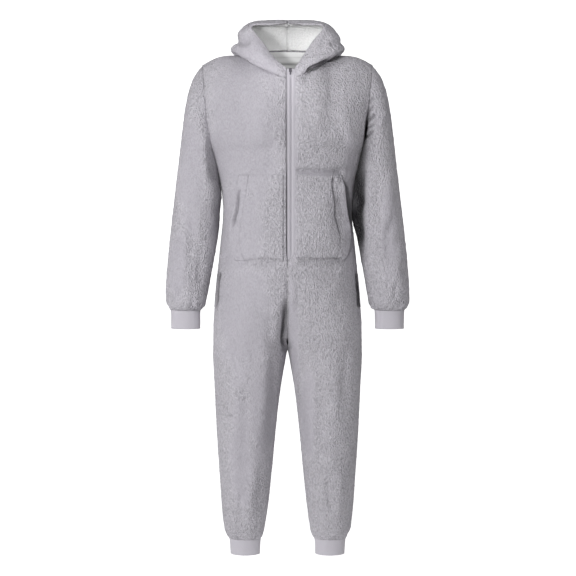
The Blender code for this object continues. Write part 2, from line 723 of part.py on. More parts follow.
def add_hood_lining(collection, word, hood, shared):
    """The lining under the hood's cloth; beside the zip it stops where the zip tape is sewn in."""
    slopes = normals_on(shared, ("hood", word), hood)
    lining = [list(line) for line in hood]
    for line, slope in zip(lining, slopes):
        share = LINING_SET_BACK / (line[1] - line[0]).length
        line[0] = blend(line[0], line[1], share)
        slope[0] = blend(slope[0], slope[1], share)

    def face(up, across):
        from_corner = min(up, across * HOOD_GAP_FADE)
        return PLUSH + blend(HOOD_GAP, LAYER_GAP, from_corner)

    def back(up, across):
        return face(up, across) + LINING

    wall(collection, f"hood_lining_{word}", "lining_white", lining, slopes, (face, back))


def add_back_neck(collection, grids, shared):
    """The facing inside the back neck and the tape over the neck seam, each across both halves."""
    top = len(BODY_SECTIONS) + ARMHOLE_STEPS - 1
    points, slopes = [], []
    for line_left, line_right in zip(grids["back", "left"], grids["back", "right"]):
        left = line_left[-NECK_BACK_STEPS - 1:]
        right = line_right[-NECK_BACK_STEPS - 1:][-2::-1]
        points.append(left + right)
        slopes.append([shared.at(("back", "left"), point) for point in left]
                      + [shared.at(("back", "right"), point) for point in right])
    inside = PLUSH + LAYER_GAP
    wall(collection, "back_neck_facing", "facing_white", points[top - FACING_ROWS:],
         slopes[top - FACING_ROWS:], (inside, inside + FACING))
    over = inside + FACING + LAYER_GAP
    wall(collection, "neck_tape", "lining_white", points[top - 1:], slopes[top - 1:],
         (over, over + TAPE))


def build_garment():
    clear_scene()
    collection = make_collection()
    shared = SharedNormals()
    sides = {"left": -1, "right": 1}
    grids = {}
    for word, side in sides.items():
        grids["front", word] = mirrored(front_grid(side), side)
        grids["back", word] = mirrored(back_grid(side), side)
        grids["hood", word] = mirrored(hood_grid(side), side)
        grids["sleeve", word] = mirrored(sleeve_grid(), side)
        grids["wrist_cuff", word] = mirrored(wrist_cuff_grid(), side)
        grids["ankle_cuff", word] = mirrored(ankle_cuff_grid(side), side)
    rings = ("sleeve", "wrist_cuff", "ankle_cuff")
    for (piece, word), grid in grids.items():
        shared.add((piece, word), grid, sides[word], closed=piece in rings)
    cloths = {"front": ("plush_grey", PLUSH), "back": ("plush_grey", PLUSH),
              "hood": ("plush_grey", PLUSH), "sleeve": ("plush_grey", PLUSH),
              "wrist_cuff": ("knit_grey", KNIT), "ankle_cuff": ("knit_grey", KNIT)}
    for (piece, word), grid in grids.items():
        material, thickness = cloths[piece]
        wall(collection, f"{piece}_{word}", material, grid,
             normals_on(shared, (piece, word), grid), (0.0, thickness), closed=piece in rings)
    for word in sides:
        front = grids["front", word]
        slopes = normals_on(shared, ("front", word), front)
        add_pocket(collection, f"pocket_{word}", front, slopes, POCKET_COLUMNS, "plush_grey")
        add_pocket(collection, f"pocket_welt_{word}", front, slopes, WELT_COLUMNS, "plush_grey")
        add_side_pocket_trim(collection, f"side_pocket_trim_{word}", front, slopes)
        add_hood_lining(collection, word, grids["hood", word], shared)
    add_back_neck(collection, grids, shared)
    line = add_zip(collection, grids["front", "right"], grids["hood", "right"])
    frame = zip_frame(line)
    add_slider(collection, frame)
    add_pull_tab(collection, frame)


build_garment()
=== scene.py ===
"""Looks of a hooded plush onesie pajama: the pile, creases, seams, knit, zip and studio.

Every cloth piece starts as a copy of its CAD wall, so it lies where the frame says. The copy is made
smooth, its creases are pressed in as soft troughs and ridges, and its face gets a plush pile.
Heights are measured up from the ankle hems, and x runs to the viewer's right; both are in
millimetres in the tables of creases and combed patches, and in metres everywhere else.
"""
import math
from collections import namedtuple

import bmesh
import bpy
import numpy as np
from bpy.props import FloatProperty, IntProperty, PointerProperty, StringProperty
from mathutils import Matrix, Vector, noise
from mathutils.kdtree import KDTree


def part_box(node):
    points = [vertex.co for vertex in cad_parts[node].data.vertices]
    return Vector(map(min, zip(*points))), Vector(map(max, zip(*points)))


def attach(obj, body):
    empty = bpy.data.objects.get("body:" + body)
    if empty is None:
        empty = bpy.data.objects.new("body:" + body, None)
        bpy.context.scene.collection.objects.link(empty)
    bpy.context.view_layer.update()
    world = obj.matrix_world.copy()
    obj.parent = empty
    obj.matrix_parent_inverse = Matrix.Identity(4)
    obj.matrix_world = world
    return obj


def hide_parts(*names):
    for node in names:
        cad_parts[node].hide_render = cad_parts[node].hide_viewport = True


bl_info = {
    "name": "Plush Onesie Looks",
    "version": (1, 0, 0),
    "blender": (4, 5, 0),
    "location": "View3D > Sidebar > Onesie",
    "description": "Dresses the frame of a hooded plush onesie pajama with cloth, zip and studio",
    "category": "Object",
}

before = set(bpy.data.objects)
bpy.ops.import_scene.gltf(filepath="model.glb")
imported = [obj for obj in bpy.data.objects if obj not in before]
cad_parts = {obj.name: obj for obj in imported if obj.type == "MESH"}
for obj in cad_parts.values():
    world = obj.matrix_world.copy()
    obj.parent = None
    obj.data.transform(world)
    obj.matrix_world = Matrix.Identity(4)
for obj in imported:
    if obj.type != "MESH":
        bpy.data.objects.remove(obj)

HEM_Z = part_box("ankle_cuff_left")[0].z       # height 0 of the tables
ZIP_X = (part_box("zip_coil")[0].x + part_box("zip_coil")[1].x) / 2
MM = 0.001                                   # the unit of the crease and patch tables
MERGE = 0.00001                              # doubles nearer than this are one point
FLAT_ANGLE = math.radians(60)                # two CAD triangles that bend less make one quad
SKEW_ANGLE = math.radians(89)                # and its corners may be this far from square
THROUGH_SLANTS = (-0.7, -0.4, 1.0)           # partners: straight through, slanting, then any
WALL_LIMIT = 0.0056                          # no cloth wall is thicker than this
CORNER_ANGLE = math.radians(35)              # a rim that turns more than this has a corner
JUNCTION_REACH = 0.0015                      # rims this near to a corner are held to it
GARMENT = "garment"
MAIN_PANELS = ("front_left", "front_right", "back_left", "back_right")
SLEEVES = ("sleeve_left", "sleeve_right")
HOODS = ("hood_left", "hood_right")
CUFFS = ("wrist_cuff_left", "wrist_cuff_right", "ankle_cuff_left", "ankle_cuff_right")
LININGS = ("hood_lining_left", "hood_lining_right")
POCKETS = ("pocket_left", "pocket_right", "pocket_welt_left", "pocket_welt_right")
TRIMS = ("side_pocket_trim_left", "side_pocket_trim_right")
TAPES = ("zip_tape_left", "zip_tape_right")
FACINGS = ("back_neck_facing", "neck_tape")
CLOTHS = MAIN_PANELS + SLEEVES + HOODS + CUFFS + LININGS + POCKETS + TRIMS + TAPES + FACINGS

# The axis and the direction that each side of the garment faces
SIDES = {"front": (1, -1.0), "left": (0, -1.0), "right": (0, 1.0), "back": (1, 1.0)}
# The creases of each side: a line of x and height, the half width and the rise (minus: a trough), in
# millimetres; then the pieces it is on (all, if none is named), the share of its length that it fades
# over, and how dark the painted shade laid along it is, standing for the shadow in the crease
Crease = namedtuple("Crease", "line width rise pieces fade shade", defaults=("", 0.30, 0.0))
CREASES = {
    "front": (
        # between the legs and below the zip
        # the first row also lays painted shade in the fold between the legs
        (((-2, 820), (-8, 750), (-10, 690), (-8, 620)), 8.5, -24, "", 0.35, 0.55),
        (((-34, 790), (-38, 730), (-36, 660)), 14, 4),
        (((14, 905), (14, 840), (13, 760)), 10, 3.5),
        (((30, 850), (33, 780), (30, 690)), 11, -3.5),
        (((-2, 905), (0, 850), (-2, 800)), 6, -3),
        (((10, 700), (26, 655), (48, 600)), 15, 4),
        # left leg as seen
        (((-45, 640), (-41, 520), (-48, 400), (-66, 300)), 18, -4),
        (((-72, 760), (-70, 600), (-78, 450), (-92, 330)), 22, 5),
        (((-120, 560), (-127, 450), (-132, 330), (-140, 210)), 20, -5),
        (((-98, 330), (-105, 230), (-122, 130)), 16, 5),
        (((-137, 230), (-143, 160), (-140, 85)), 13, -5),
        (((-88, 230), (-82, 170), (-92, 105)), 14, -3.5),
        # right leg as seen
        (((92, 600), (99, 480), (100, 350), (112, 260)), 20, -4.5),
        (((66, 520), (72, 400), (86, 270)), 18, 4.5),
        (((172, 690), (175, 560), (168, 450)), 20, -4.5),
        (((140, 620), (143, 480), (146, 340)), 20, 4),
        (((118, 280), (128, 190), (131, 110)), 13, -4.5),
        (((84, 175), (94, 130), (108, 95)), 9, -4),
        (((158, 300), (160, 200), (152, 110)), 14, 4),
        # torso front
        (((-190, 960), (-176, 1060), (-186, 1160)), 20, 4),
        (((-150, 1430), (-120, 1360), (-110, 1250)), 30, -4),
        (((150, 1440), (125, 1370), (110, 1260)), 26, -5),
        (((205, 1240), (180, 1300), (160, 1380)), 22, 4.5),
        (((210, 1200), (170, 1180), (120, 1185)), 18, -3),
        (((-210, 1220), (-160, 1200), (-110, 1210)), 20, -3),
        (((45, 1440), (60, 1380), (58, 1280)), 18, -3),
        (((-45, 1330), (-50, 1250), (-45, 1170)), 20, -2.5),
        # under the pockets
        (((-150, 900), (-85, 880), (-30, 892)), 14, -2.5),
        (((40, 893), (100, 876), (160, 895)), 14, -3.5),
        (((160, 870), (120, 800), (110, 720)), 22, 4),
        (((-150, 860), (-120, 790), (-112, 720)), 24, 3.5),
        # right armhole and sleeve
        # the armhole's pleats and seam carry painted shade; the row after them is mostly a painted
        # shadow line between sleeve and body
        (((233, 1276), (246, 1290), (262, 1308)), 5, -7.5, "", 0.35, 0.55),
        (((233, 1300), (248, 1312), (264, 1326)), 4.5, -6, "", 0.35, 0.5),
        (((236, 1324), (250, 1338), (266, 1354)), 5, -7, "", 0.35, 0.5),
        (((239, 1352), (250, 1366), (262, 1380)), 4.5, -5.5, "", 0.35, 0.4),
        (((242, 1378), (250, 1388), (262, 1402)), 4.5, -4, "", 0.35, 0.25),
        (((247, 1380), (240, 1335), (235, 1290), (229, 1240)), 5.5, -6, "", 0.3, 0.6),
        (((240, 1310), (232, 1262), (223, 1210), (213, 1160), (206, 1120)), 6, -3, ("sleeve_right",
         "front_right"), 0.22, 0.85),
        (((236, 1300), (256, 1322), (276, 1350)), 6, 3.5),
        (((300, 1372), (284, 1340), (268, 1300)), 12, 5),
        (((262, 1180), (270, 1090), (268, 1000)), 16, -4.5),
        (((300, 1220), (306, 1110), (302, 1020)), 20, 4.5),
        (((318, 1060), (300, 980), (304, 900)), 14, -4),
        (((345, 990), (330, 900), (338, 820)), 15, 4),
        (((268, 860), (280, 820), (292, 790)), 7, -3.5),
        (((330, 850), (322, 815), (330, 785)), 8, -4),
        # left sleeve as seen
        (((-284, 1330), (-278, 1220), (-272, 1110)), 22, -5.5),
        (((-250, 1400), (-240, 1330), (-238, 1250)), 14, 3),
        (((-322, 1260), (-330, 1120), (-338, 990)), 20, 4),
        (((-292, 1100), (-286, 990), (-292, 880)), 16, -4),
        (((-318, 1000), (-312, 910), (-318, 820)), 15, 4),
        (((-268, 980), (-262, 900), (-272, 820)), 13, -4.5),
        (((-332, 860), (-326, 815), (-332, 785)), 9, -4),
        # upper chest folds towards the hood
        (((52, 1470), (98, 1500), (158, 1522)), 9, -4),
        (((-38, 1472), (-90, 1500), (-150, 1520)), 8, -2),
        # the sleeves' inner sides, full towards the body
        # the second row is almost only a painted shadow, where the body shades the right sleeve's inner
        # side; the third lays some painted shade on the left sleeve
        (((231, 1260), (225, 1200), (217, 1130), (213, 1050), (213, 980), (218, 895)), 19, -23,
         "sleeve_right", 0.34, 0.0),
        (((240, 1350), (230, 1240), (220, 1180), (217, 1120), (214, 1040), (214, 970), (220, 870)),
         17.5, -1, "sleeve_right", 0.22, 1.0),
        (((-229, 1260), (-220, 1180), (-212, 1100), (-208, 1020), (-216, 930)), 15, -2, "sleeve_left",
         0.3, 0.35),
        (((-240, 1290), (-232, 1210), (-223, 1130)), 14, -8, "sleeve_left"),
        # pockets: full, with a raised band at the mouth; the cloth beneath is drawn in at their seams
        (((90, 1150), (98, 1040), (100, 930)), 60, 8, "pocket_right"),
        (((-70, 1150), (-78, 1040), (-80, 930)), 60, 4, "pocket_left"),
        (((34, 1160), (100, 1160), (158, 1158)), 12, 4.5, "pocket", 0.08),
        (((162, 1169), (170, 1105), (178, 1046), (188, 980)), 15, 8, "pocket_welt_right", 0.2),
        # the rows with a shade lay painted shadow in the pockets' mouths, on the chest above the right
        # pocket and along the pockets' bottom seams
        (((132, 1169), (137, 1105), (144, 1045), (156, 986)), 4.5, -5.5, "pocket", 0.1, 0.25),
        (((20, 1182), (100, 1181), (172, 1180)), 9, -7, "front_right", 0.1, 0.12),
        (((169, 1160), (175, 1105), (186, 1046), (197, 985)), 10, -19, "front_right", 0.3, 0.9),
        (((20, 907), (100, 906), (178, 908)), 6, -2, "front_right", 0.06, 0.05),
        (((20, 921), (100, 921), (165, 921)), 3.5, -3.5, "pocket", 0.06, 0.34),
        (((-144, 1135), (-146, 1090), (-149, 1055), (-166, 1003)), 4.2, -6.5, "pocket", 0.25, 0.45),
        (((-20, 1180), (-80, 1180), (-140, 1178)), 8, -2.5, "front_left"),
        (((-20, 907), (-80, 906), (-150, 908)), 6, -4, "front_left", 0.15, 0.05),
        (((-16, 921), (-70, 923), (-130, 919)), 3.5, -3, "pocket", 0.15, 0.24),
        # hood base and hood sides
        # painted shadow under the hood: along its base on the right, and on the chest beneath it
        (((170, 1531), (134, 1515), (99, 1500), (72, 1487), (56, 1470)), 4.8, -10.5, ("hood_right",
         "hood_lining_right"), 0.12, 0.9),
        (((176, 1531), (150, 1520), (116, 1506)), 6, -2, "front_right", 0.15, 0.8),
        (((100, 1497), (72, 1480), (52, 1455), (50, 1430)), 7, -3, "front_right", 0.25, 0.22),
        (((150, 1540), (110, 1520), (70, 1503)), 10, 4.5, "hood_right", 0.2),
        (((-155, 1524), (-105, 1503), (-60, 1487)), 7, -3, "hood_left"),
        (((128, 1592), (108, 1566), (90, 1540)), 8, -5),
        (((142, 1580), (126, 1556), (110, 1530)), 7, 3),
        (((-150, 1572), (-135, 1560), (-120, 1556)), 12, -4),
    ),
    "left": (
        # the sleeves' inner sides, full towards the body
        (((246, 1330), (228, 1230), (214, 1150), (205, 1040), (208, 960)), 34, 11,
         "sleeve_right", 0.25),
        # slits of the side pockets
        # painted shadow in the slit
        (((-203, 882), (-209, 820), (-215, 762)), 3.6, -12, "front_left", 0.15, 1.0),
        # hood base and hood sides
        (((-190, 1574), (-150, 1573), (-105, 1570)), 17, -16, ("hood_left", "hood_lining_left"), 0.05),
    ),
    "right": (
        # the sleeves' inner sides, full towards the body
        (((-246, 1330), (-228, 1230), (-214, 1150), (-207, 1050)), 34, 8.5, "sleeve_left", 0.25),
        # slits of the side pockets
        # painted shadow in the slit
        (((205, 878), (211, 820), (216, 762)), 5, -12, "front_right", 0.15, 0.8),
        # hood base and hood sides
        (((190, 1568), (150, 1565), (125, 1560)), 10, -6, ("hood_right", "hood_lining_right"), 0.05),
    ),
    "back": (
        # back: seat, waist, behind the knees, elbows
        (((-150, 720), (-80, 672), (-20, 690)), 16, -6),
        (((155, 716), (85, 668), (18, 688)), 16, -6),
        (((-130, 660), (-70, 628), (-30, 640)), 12, 4.5),
        (((120, 655), (66, 626), (30, 640)), 12, 4.5),
        (((-185, 1080), (-100, 1050), (-10, 1062)), 18, -6),
        (((188, 1070), (110, 1038), (20, 1050)), 18, -6),
        (((-170, 1020), (-90, 990), (-15, 1002)), 20, 5),
        (((175, 1010), (95, 984), (15, 996)), 20, 5),
        (((-205, 1130), (-150, 1112), (-80, 1118)), 14, 4),
        (((180, 1150), (125, 1100), (60, 1110)), 14, 4),
        (((-190, 450), (-140, 425), (-70, 440)), 14, -6),
        (((190, 455), (135, 428), (70, 442)), 14, -6),
        (((-180, 410), (-130, 390), (-80, 400)), 13, 5),
        (((178, 414), (130, 388), (82, 398)), 13, 5),
        (((-170, 360), (-125, 345), (-85, 358)), 12, -4.5),
        (((168, 366), (128, 346), (86, 356)), 12, -4.5),
        (((-100, 620), (-105, 520), (-98, 460)), 20, 4),
        (((98, 610), (108, 520), (104, 460)), 20, 4),
        (((-130, 300), (-128, 200), (-134, 100)), 16, -4.5),
        (((132, 310), (126, 200), (132, 100)), 16, -4.5),
        (((-60, 1420), (-80, 1320), (-70, 1220)), 26, -5),
        (((66, 1430), (86, 1330), (74, 1220)), 26, -5),
        (((-160, 1430), (-150, 1340), (-170, 1260)), 24, 5),
        (((162, 1425), (150, 1335), (172, 1255)), 24, 5),
        (((-345, 1130), (-290, 1105), (-230, 1120)), 14, -6),
        (((345, 1135), (292, 1108), (232, 1118)), 14, -6),
        (((-348, 1090), (-295, 1068), (-240, 1080)), 13, 5),
        (((350, 1094), (296, 1070), (240, 1082)), 13, 5),
        (((-342, 1050), (-300, 1035), (-250, 1045)), 12, -4.5),
        (((340, 1048), (302, 1032), (252, 1044)), 12, -4.5),
        (((-290, 1360), (-300, 1260), (-285, 1160)), 18, 4),
        (((292, 1355), (300, 1255), (287, 1160)), 18, 4),
    ),
}
# Where the pile lies combed flat, in millimetres: the middle of each patch, its half width and height
COMBED = (
    (-130, 1300, 110, 260), (-150, 1010, 85, 160), (-120, 1500, 110, 75), (-75, 1560, 75, 50),
    (-125, 740, 85, 200), (-75, 480, 45, 200), (-140, 330, 35, 180), (16, 1180, 14, 280),
    (18, 700, 16, 160), (185, 1100, 22, 220), (60, 450, 22, 160), (310, 1000, 30, 160),
    (-290, 1180, 40, 190), (-330, 900, 30, 110), (85, 1175, 70, 12),
)
WANDER = 0.004                # how far a crease strays from its line
WANDER_SCALE = 0.045          # and over what length
CREASE_BANK = 0.45            # a crease's banks turn the other way by this share
CREASE_FALLOFF = 0.9          # how fast a crease dies away at its sides
PATCH_SCALE = 0.035           # length over which a combed patch's border strays
CENTRE_GAP = 0.0006           # the hood's halves meet at x = 0 within this
MOUTH_DROOP = 0.010           # the right pocket's mouth sags this far towards the zip,
MOUTH_START, MOUTH_REACH = 0.110, 0.050      # from this x outwards, full after this much,
MOUTH_HEIGHT, MOUTH_SPAN = 1.040, 0.085      # most at this height, over this half height
LINING_TUCK = 0.0030          # the lining's edges are sewn in under the plush, this deep
LINING_PILE, LINING_TUFTS = 0.4, 0.8         # the sherpa's pile and unevenness against the plush
LINING_EDGE = 0.0045          # its edges are dark this far in, where the rim shades them
TRIM_PILE = 0.4               # the side pockets' trims have a shorn pile
LIP = 0.0055                  # the hood's plush is rolled in round its opening, this thick,
LIP_START, LIP_BLEND = 0.004, 0.006          # where the lining is further off than this
HOOD_STEP, POCKET_STEP, FLAT_STEP = 0.0042, 0.0036, 0.0040   # longest edges of the finer meshes
TAPE_STEP = 0.0030
SEAM_PINCH = 0.6              # share of the pile's height that a seam pinches away

# painted shadow on the facing under the neck tape, and painted shade on the lining's edges under the
# hood's rim
TAPE_SHADOW, TAPE_SHADOW_REACH = 0.75, 0.0028          # on the facing, below the neck tape
RIM_SHADE = 0.9                                        # on the lining's edges
SLACK, SLACK_SIZE, SLACK_FREE = 0.0012, 0.030, 0.010   # of the cuffs' knit; none within the last
RIDGE, RIDGE_AT, RIDGE_WIDTH = 0.0007, 0.0075, 0.0028  # each zip tape swells beside the teeth
GROOVE_START, GROOVE_BLEND = 0.0085, 0.0040            # the left tape sinks this far from the teeth,
GROOVE_DEPTH, GROOVE_MORE = 0.0018, 0.0045             # and more beside the pockets,
POCKET_TOP, GROOVE_CHANGE = 1.22, 0.10                 # which it reaches gradually from this height
COIL_ROW_GAP = 0.0035                                  # rows of the CAD coil's points are further apart
TOOTH_DEPTH, TOOTH_BEVEL, TOOTH_SUNK = 0.0017, 0.00022, 0.0010
TOOTH_WIDTH, TOOTH_SHIFT = 1.5, 0.38                   # as shares of half the coil's width
TOOTH_THICKNESS = 0.42                                 # as a share of the pitch

# Where cloth is gathered into a cuff: the seam's height, the reach of the puckers and their rise
Gather = namedtuple("Gather", "pieces height reach rise spacing")
GATHERS = (
    Gather(("front", "back"), 0.050, 0.060, 0.0035, 0.013),
    Gather(("sleeve",), 0.762, 0.050, 0.0035, 0.012),
)


# --- Settings ----------------------------------------------------------------------------------

class OnesieSizes(bpy.types.PropertyGroup):
    """Sizes of the cloth's surface."""
    levels: IntProperty(name="Smoothing", description="Subdivisions of the cut pieces",
                        default=3, min=1, max=4)
    mesh_step: FloatProperty(name="Mesh step", description="Longest edge on the pile's side",
                             default=0.0050, min=0.002, max=0.02, unit="LENGTH")
    pile_height: FloatProperty(name="Pile height", description="How far the pile stands off the cloth",
                               default=0.0024, min=0.0, max=0.01, unit="LENGTH")
    seam_reach: FloatProperty(name="Seam reach", description="The pile is pinched this near a seam",
                              default=0.0070, min=0.001, max=0.03, unit="LENGTH")
    tuft_size: FloatProperty(name="Tuft size", description="Width of the pile's larger tufts",
                             default=0.011, min=0.003, max=0.05, unit="LENGTH")
    tuft_rise: FloatProperty(name="Tuft rise", description="Unevenness of the pile",
                             default=0.0011, min=0.0, max=0.005, unit="LENGTH")
    rib_pitch: FloatProperty(name="Rib pitch", description="Width of one rib of the cuffs",
                             default=0.0042, min=0.001, max=0.01, unit="LENGTH")
    tooth_pitch: FloatProperty(name="Tooth pitch", description="Distance between the zip's teeth",
                               default=0.0017, min=0.0008, max=0.005, unit="LENGTH")


class OnesieColours(bpy.types.PropertyGroup):
    """Colours as sRGB hex values."""
    plush_light: StringProperty(name="Plush tips", description="Tips of the plush pile",
                                default="#C9C6CD")
    # the depths' colour is painted shade between the tufts; combed patches lean towards it too
    plush_dark: StringProperty(name="Plush depths", description="Between the tufts",
                               default="#9F9CA3")
    # painted shade: this colour is laid where the shade attribute is, in creases, folds and gaps where
    # shadow falls
    painted_shade_colour: StringProperty(name="Hollows", description="Pile closed over a deep crease",
                           default="#17151A")
    lining_light: StringProperty(name="Lining tips", description="Tips of the sherpa lining",
                                 default="#FAFAFA")
    # the depths' colour is painted shade between the lining's curls
    lining_dark: StringProperty(name="Lining depths", description="Between the lining's curls",
                                default="#E9E9E9")
    facing: StringProperty(name="Facing", description="Brushed knit inside the back neck",
                           default="#E4E4E4")
    tape: StringProperty(name="Neck tape", description="Woven tape over the neck seam",
                         default="#FCFCFC")
    knit_light: StringProperty(name="Cuff ribs", description="Raised ribs of the cuffs",
                               default="#BAB7BE")
    # the grooves' colour is painted shade between the ribs
    knit_dark: StringProperty(name="Cuff grooves", description="Grooves between the ribs",
                              default="#A6A3AA")
    zip_tape: StringProperty(name="Zip tape", description="Woven tape of the zip",
                             default="#BBB8BF")
    coil: StringProperty(name="Zip coil", description="Nylon teeth", default="#B3B0B8")
    metal: StringProperty(name="Slider", description="Lacquered zinc of slider and tab",
                          default="#5C5A60")
    backdrop: StringProperty(name="Backdrop", description="Floor and wall of the studio",
                             default="#E4E4E4")


def settings():
    return bpy.context.scene.onesie_sizes


def colours():
    return bpy.context.scene.onesie_colours


# --- Cloth from the CAD walls ------------------------------------------------------------------

def quad_cage(node):
    """A node's wall as a welded cage of quads."""
    cage = bmesh.new()
    cage.from_mesh(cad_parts[node].data)
    bmesh.ops.remove_doubles(cage, verts=cage.verts[:], dist=MERGE)
    bmesh.ops.join_triangles(cage, faces=cage.faces[:], cmp_seam=False, cmp_sharp=False,
                             cmp_uvs=False, cmp_vcols=False, cmp_materials=False,
                             angle_face_threshold=FLAT_ANGLE,
                             angle_shape_threshold=SKEW_ANGLE)
    return cage


def partners(cage):
    """For each vertex, the one straight through the wall; at the corners, the nearest left over."""
    cage.normal_update()
    tree = KDTree(len(cage.verts))
    for vert in cage.verts:
        tree.insert(vert.co, vert.index)
    tree.balance()
    cage.verts.ensure_lookup_table()
    through = {}
    for slant in THROUGH_SLANTS:
        nearest = {}
        for vert in cage.verts:
            if vert.index in through:
                continue
            found = [(distance, index) for co, index, distance in tree.find_range(vert.co, WALL_LIMIT)
                     if index != vert.index and index not in through
                     and (co - vert.co).dot(vert.normal) <= slant * distance]
            if found:
                nearest[vert.index] = min(found)[1]
        through.update((a, b) for a, b in nearest.items() if nearest.get(b) == a)
    return through


def face_region(start, walls):
    """All faces that can be reached from one without crossing the wall's rim."""
    region, edge_of_search = {start}, [start]
    while edge_of_search:
        face = edge_of_search.pop()
        for edge in face.edges:
            for neighbour in edge.link_faces:
                if neighbour not in region and neighbour not in walls:
                    region.add(neighbour)
                    edge_of_search.append(neighbour)
    return region


def cloth_sides(cage, through):
    """The wall's outer faces, its inner faces, and the faces of its cut edges."""
    walls = set()
    for face in cage.faces:
        corners = [vert.index for vert in face.verts]
        if any(through.get(corner) in corners for corner in corners):
            walls.add(face)
    left = set(cage.faces) - walls
    regions = []
    while left:
        region = face_region(next(iter(left)), walls)
        regions.append(region)
        left -= region
    regions.sort(key=lambda region: -sum(face.calc_area() for face in region))
    if len(regions) < 2:
        raise RuntimeError("a cloth wall needs an outer and an inner side")
    return regions[0], regions[1], walls


def rim_corners(cage, walls):
    """Vertices at which a panel's cut edge turns a corner."""
    corners = set()
    for vert in cage.verts:
        rims = [edge for edge in vert.link_edges
                if len(edge.link_faces) == 2 and sum(f in walls for f in edge.link_faces) == 1]
        if len(rims) != 2:
            continue
        along = [(edge.other_vert(vert).co - vert.co).normalized() for edge in rims]
        if math.pi - along[0].angle(along[1]) > CORNER_ANGLE:
            corners.add(vert)
    return corners


class Junctions:
    """Places where the corners of pieces meet; every rim is held there, so seams stay shut."""
    tree = None

    @classmethod
    def find(cls):
        points = []
        for node in CLOTHS:
            cage = quad_cage(node)
            walls = cloth_sides(cage, partners(cage))[2]
            points += [vert.co.copy() for vert in rim_corners(cage, walls)]
            cage.free()
        cls.tree = KDTree(len(points))
        for number, point in enumerate(points):
            cls.tree.insert(point, number)
        cls.tree.balance()

    @classmethod
    def near(cls, point):
        return cls.tree.find(point)[2] < JUNCTION_REACH


def lay_directions(cage, outer, inner, through):
    """Marks each vertex with the direction out of the cloth, and with 1 on its outer side."""
    lift = cage.verts.layers.float_vector.new("lift")
    facing = cage.verts.layers.float.new("facing")
    for faces, sign in ((outer, 1.0), (inner, -1.0)):
        sums = {}
        for face in faces:
            for vert in face.verts:
                sums[vert] = sums.get(vert, Vector()) + face.normal * face.calc_area()
        for vert, total in sums.items():
            vert[lift] = total.normalized() * sign
            vert[facing] = max(0.0, sign)
    rims = {vert for face in cage.faces if face not in outer and face not in inner
            for vert in face.verts}
    cage.verts.ensure_lookup_table()
    for vert in rims:
        other = through.get(vert.index)
        if other is not None:
            apart = (vert.co - cage.verts[other].co).normalized()
            vert[lift] = apart if vert[facing] > 0.5 else -apart


def smooth_cloth(name, cage, levels):
    """The cage, subdivided on a temporary object, as a new mesh."""
    mesh = bpy.data.meshes.new(name)
    cage.to_mesh(mesh)
    cage.free()
    item = bpy.data.objects.new(name, mesh)
    bpy.context.scene.collection.objects.link(item)
    modifier = item.modifiers.new("smooth", "SUBSURF")
    modifier.levels = levels
    modifier.render_levels = levels
    found = item.evaluated_get(bpy.context.evaluated_depsgraph_get())
    smooth = bpy.data.meshes.new_from_object(found)
    bpy.data.objects.remove(item)
    bpy.data.meshes.remove(mesh)
    return smooth


def refine(mesh, step):
    """Halves the long edges of the outer side, until none is longer than step."""
    bm = bmesh.new()
    bm.from_mesh(mesh)
    facing = bm.verts.layers.float["facing"]
    for _ in range(2):
        long_edges = [edge for edge in bm.edges
                      if edge.verts[0][facing] > 0.99 and edge.verts[1][facing] > 0.99
                      and edge.calc_length() > step]
        if long_edges:
            bmesh.ops.subdivide_edges(bm, edges=long_edges, cuts=1, use_grid_fill=True)
    bm.to_mesh(mesh)
    bm.free()


def cloth_mesh(node, name, step, levels):
    """A smooth, welded shell on the form of a CAD wall, with its directions marked."""
    cage = quad_cage(node)
    through = partners(cage)
    outer, inner, walls = cloth_sides(cage, through)
    lay_directions(cage, outer, inner, through)
    crease = cage.edges.layers.float.new("crease_edge")
    pinned = cage.verts.layers.float.new("crease_vert")
    for edge in cage.edges:
        if len(edge.link_faces) == 2 and sum(face in walls for face in edge.link_faces) == 1:
            edge[crease] = 1.0
    rims = {vert for face in walls for vert in face.verts}
    corners = rim_corners(cage, walls)
    for vert in rims:
        if vert in corners or Junctions.near(vert.co):
            vert[pinned] = 1.0
    mesh = smooth_cloth(name, cage, levels)
    refine(mesh, step)
    return mesh


class Surface:
    """A cloth mesh's points and directions as arrays, moved and written back."""

    def __init__(self, mesh):
        self.mesh = mesh
        count = len(mesh.vertices)
        self.co = self.read(mesh.vertices, "co", 3).reshape(count, 3)
        self.lift = self.read(mesh.attributes["lift"].data, "vector", 3).reshape(count, 3)
        self.lift /= np.maximum(np.linalg.norm(self.lift, axis=1, keepdims=True), 1e-9)
        self.facing = np.clip(self.read(mesh.attributes["facing"].data, "value", 1), 0.0, 1.0)
        self.height = self.co[:, 2] - HEM_Z
        self.seam = self.seam_distance()
        self.shade = np.zeros(count)

    @staticmethod
    def read(data, field, width):
        values = np.zeros(len(data) * width, np.float32)
        data.foreach_get(field, values)
        return values.astype(float)

    def seam_distance(self):
        """How far each point lies from the nearest cut edge."""
        rim = np.nonzero((self.facing > 0.25) & (self.facing < 0.75))[0]
        tree = KDTree(len(rim))
        for index in rim:
            tree.insert(self.co[index], int(index))
        tree.balance()
        return np.array([tree.find(point)[2] for point in self.co])

    def move(self, amount):
        self.co += self.lift * amount[:, None]

    def close_centre(self):
        """Brings the two halves of the hood together at their seam."""
        self.co[np.abs(self.co[:, 0]) < CENTRE_GAP, 0] = 0.0

    def write(self):
        self.mesh.vertices.foreach_set("co", self.co.astype(np.float32).ravel())
        for name in ("lift", "facing"):
            self.mesh.attributes.remove(self.mesh.attributes[name])
        for name, values in (("shade", self.shade), ("combed", combed_share(self))):
            attribute = self.mesh.attributes.new(name, "FLOAT", "POINT")
            attribute.data.foreach_set("value", values.astype(np.float32))
        self.mesh.shade_smooth()
        self.mesh.update()


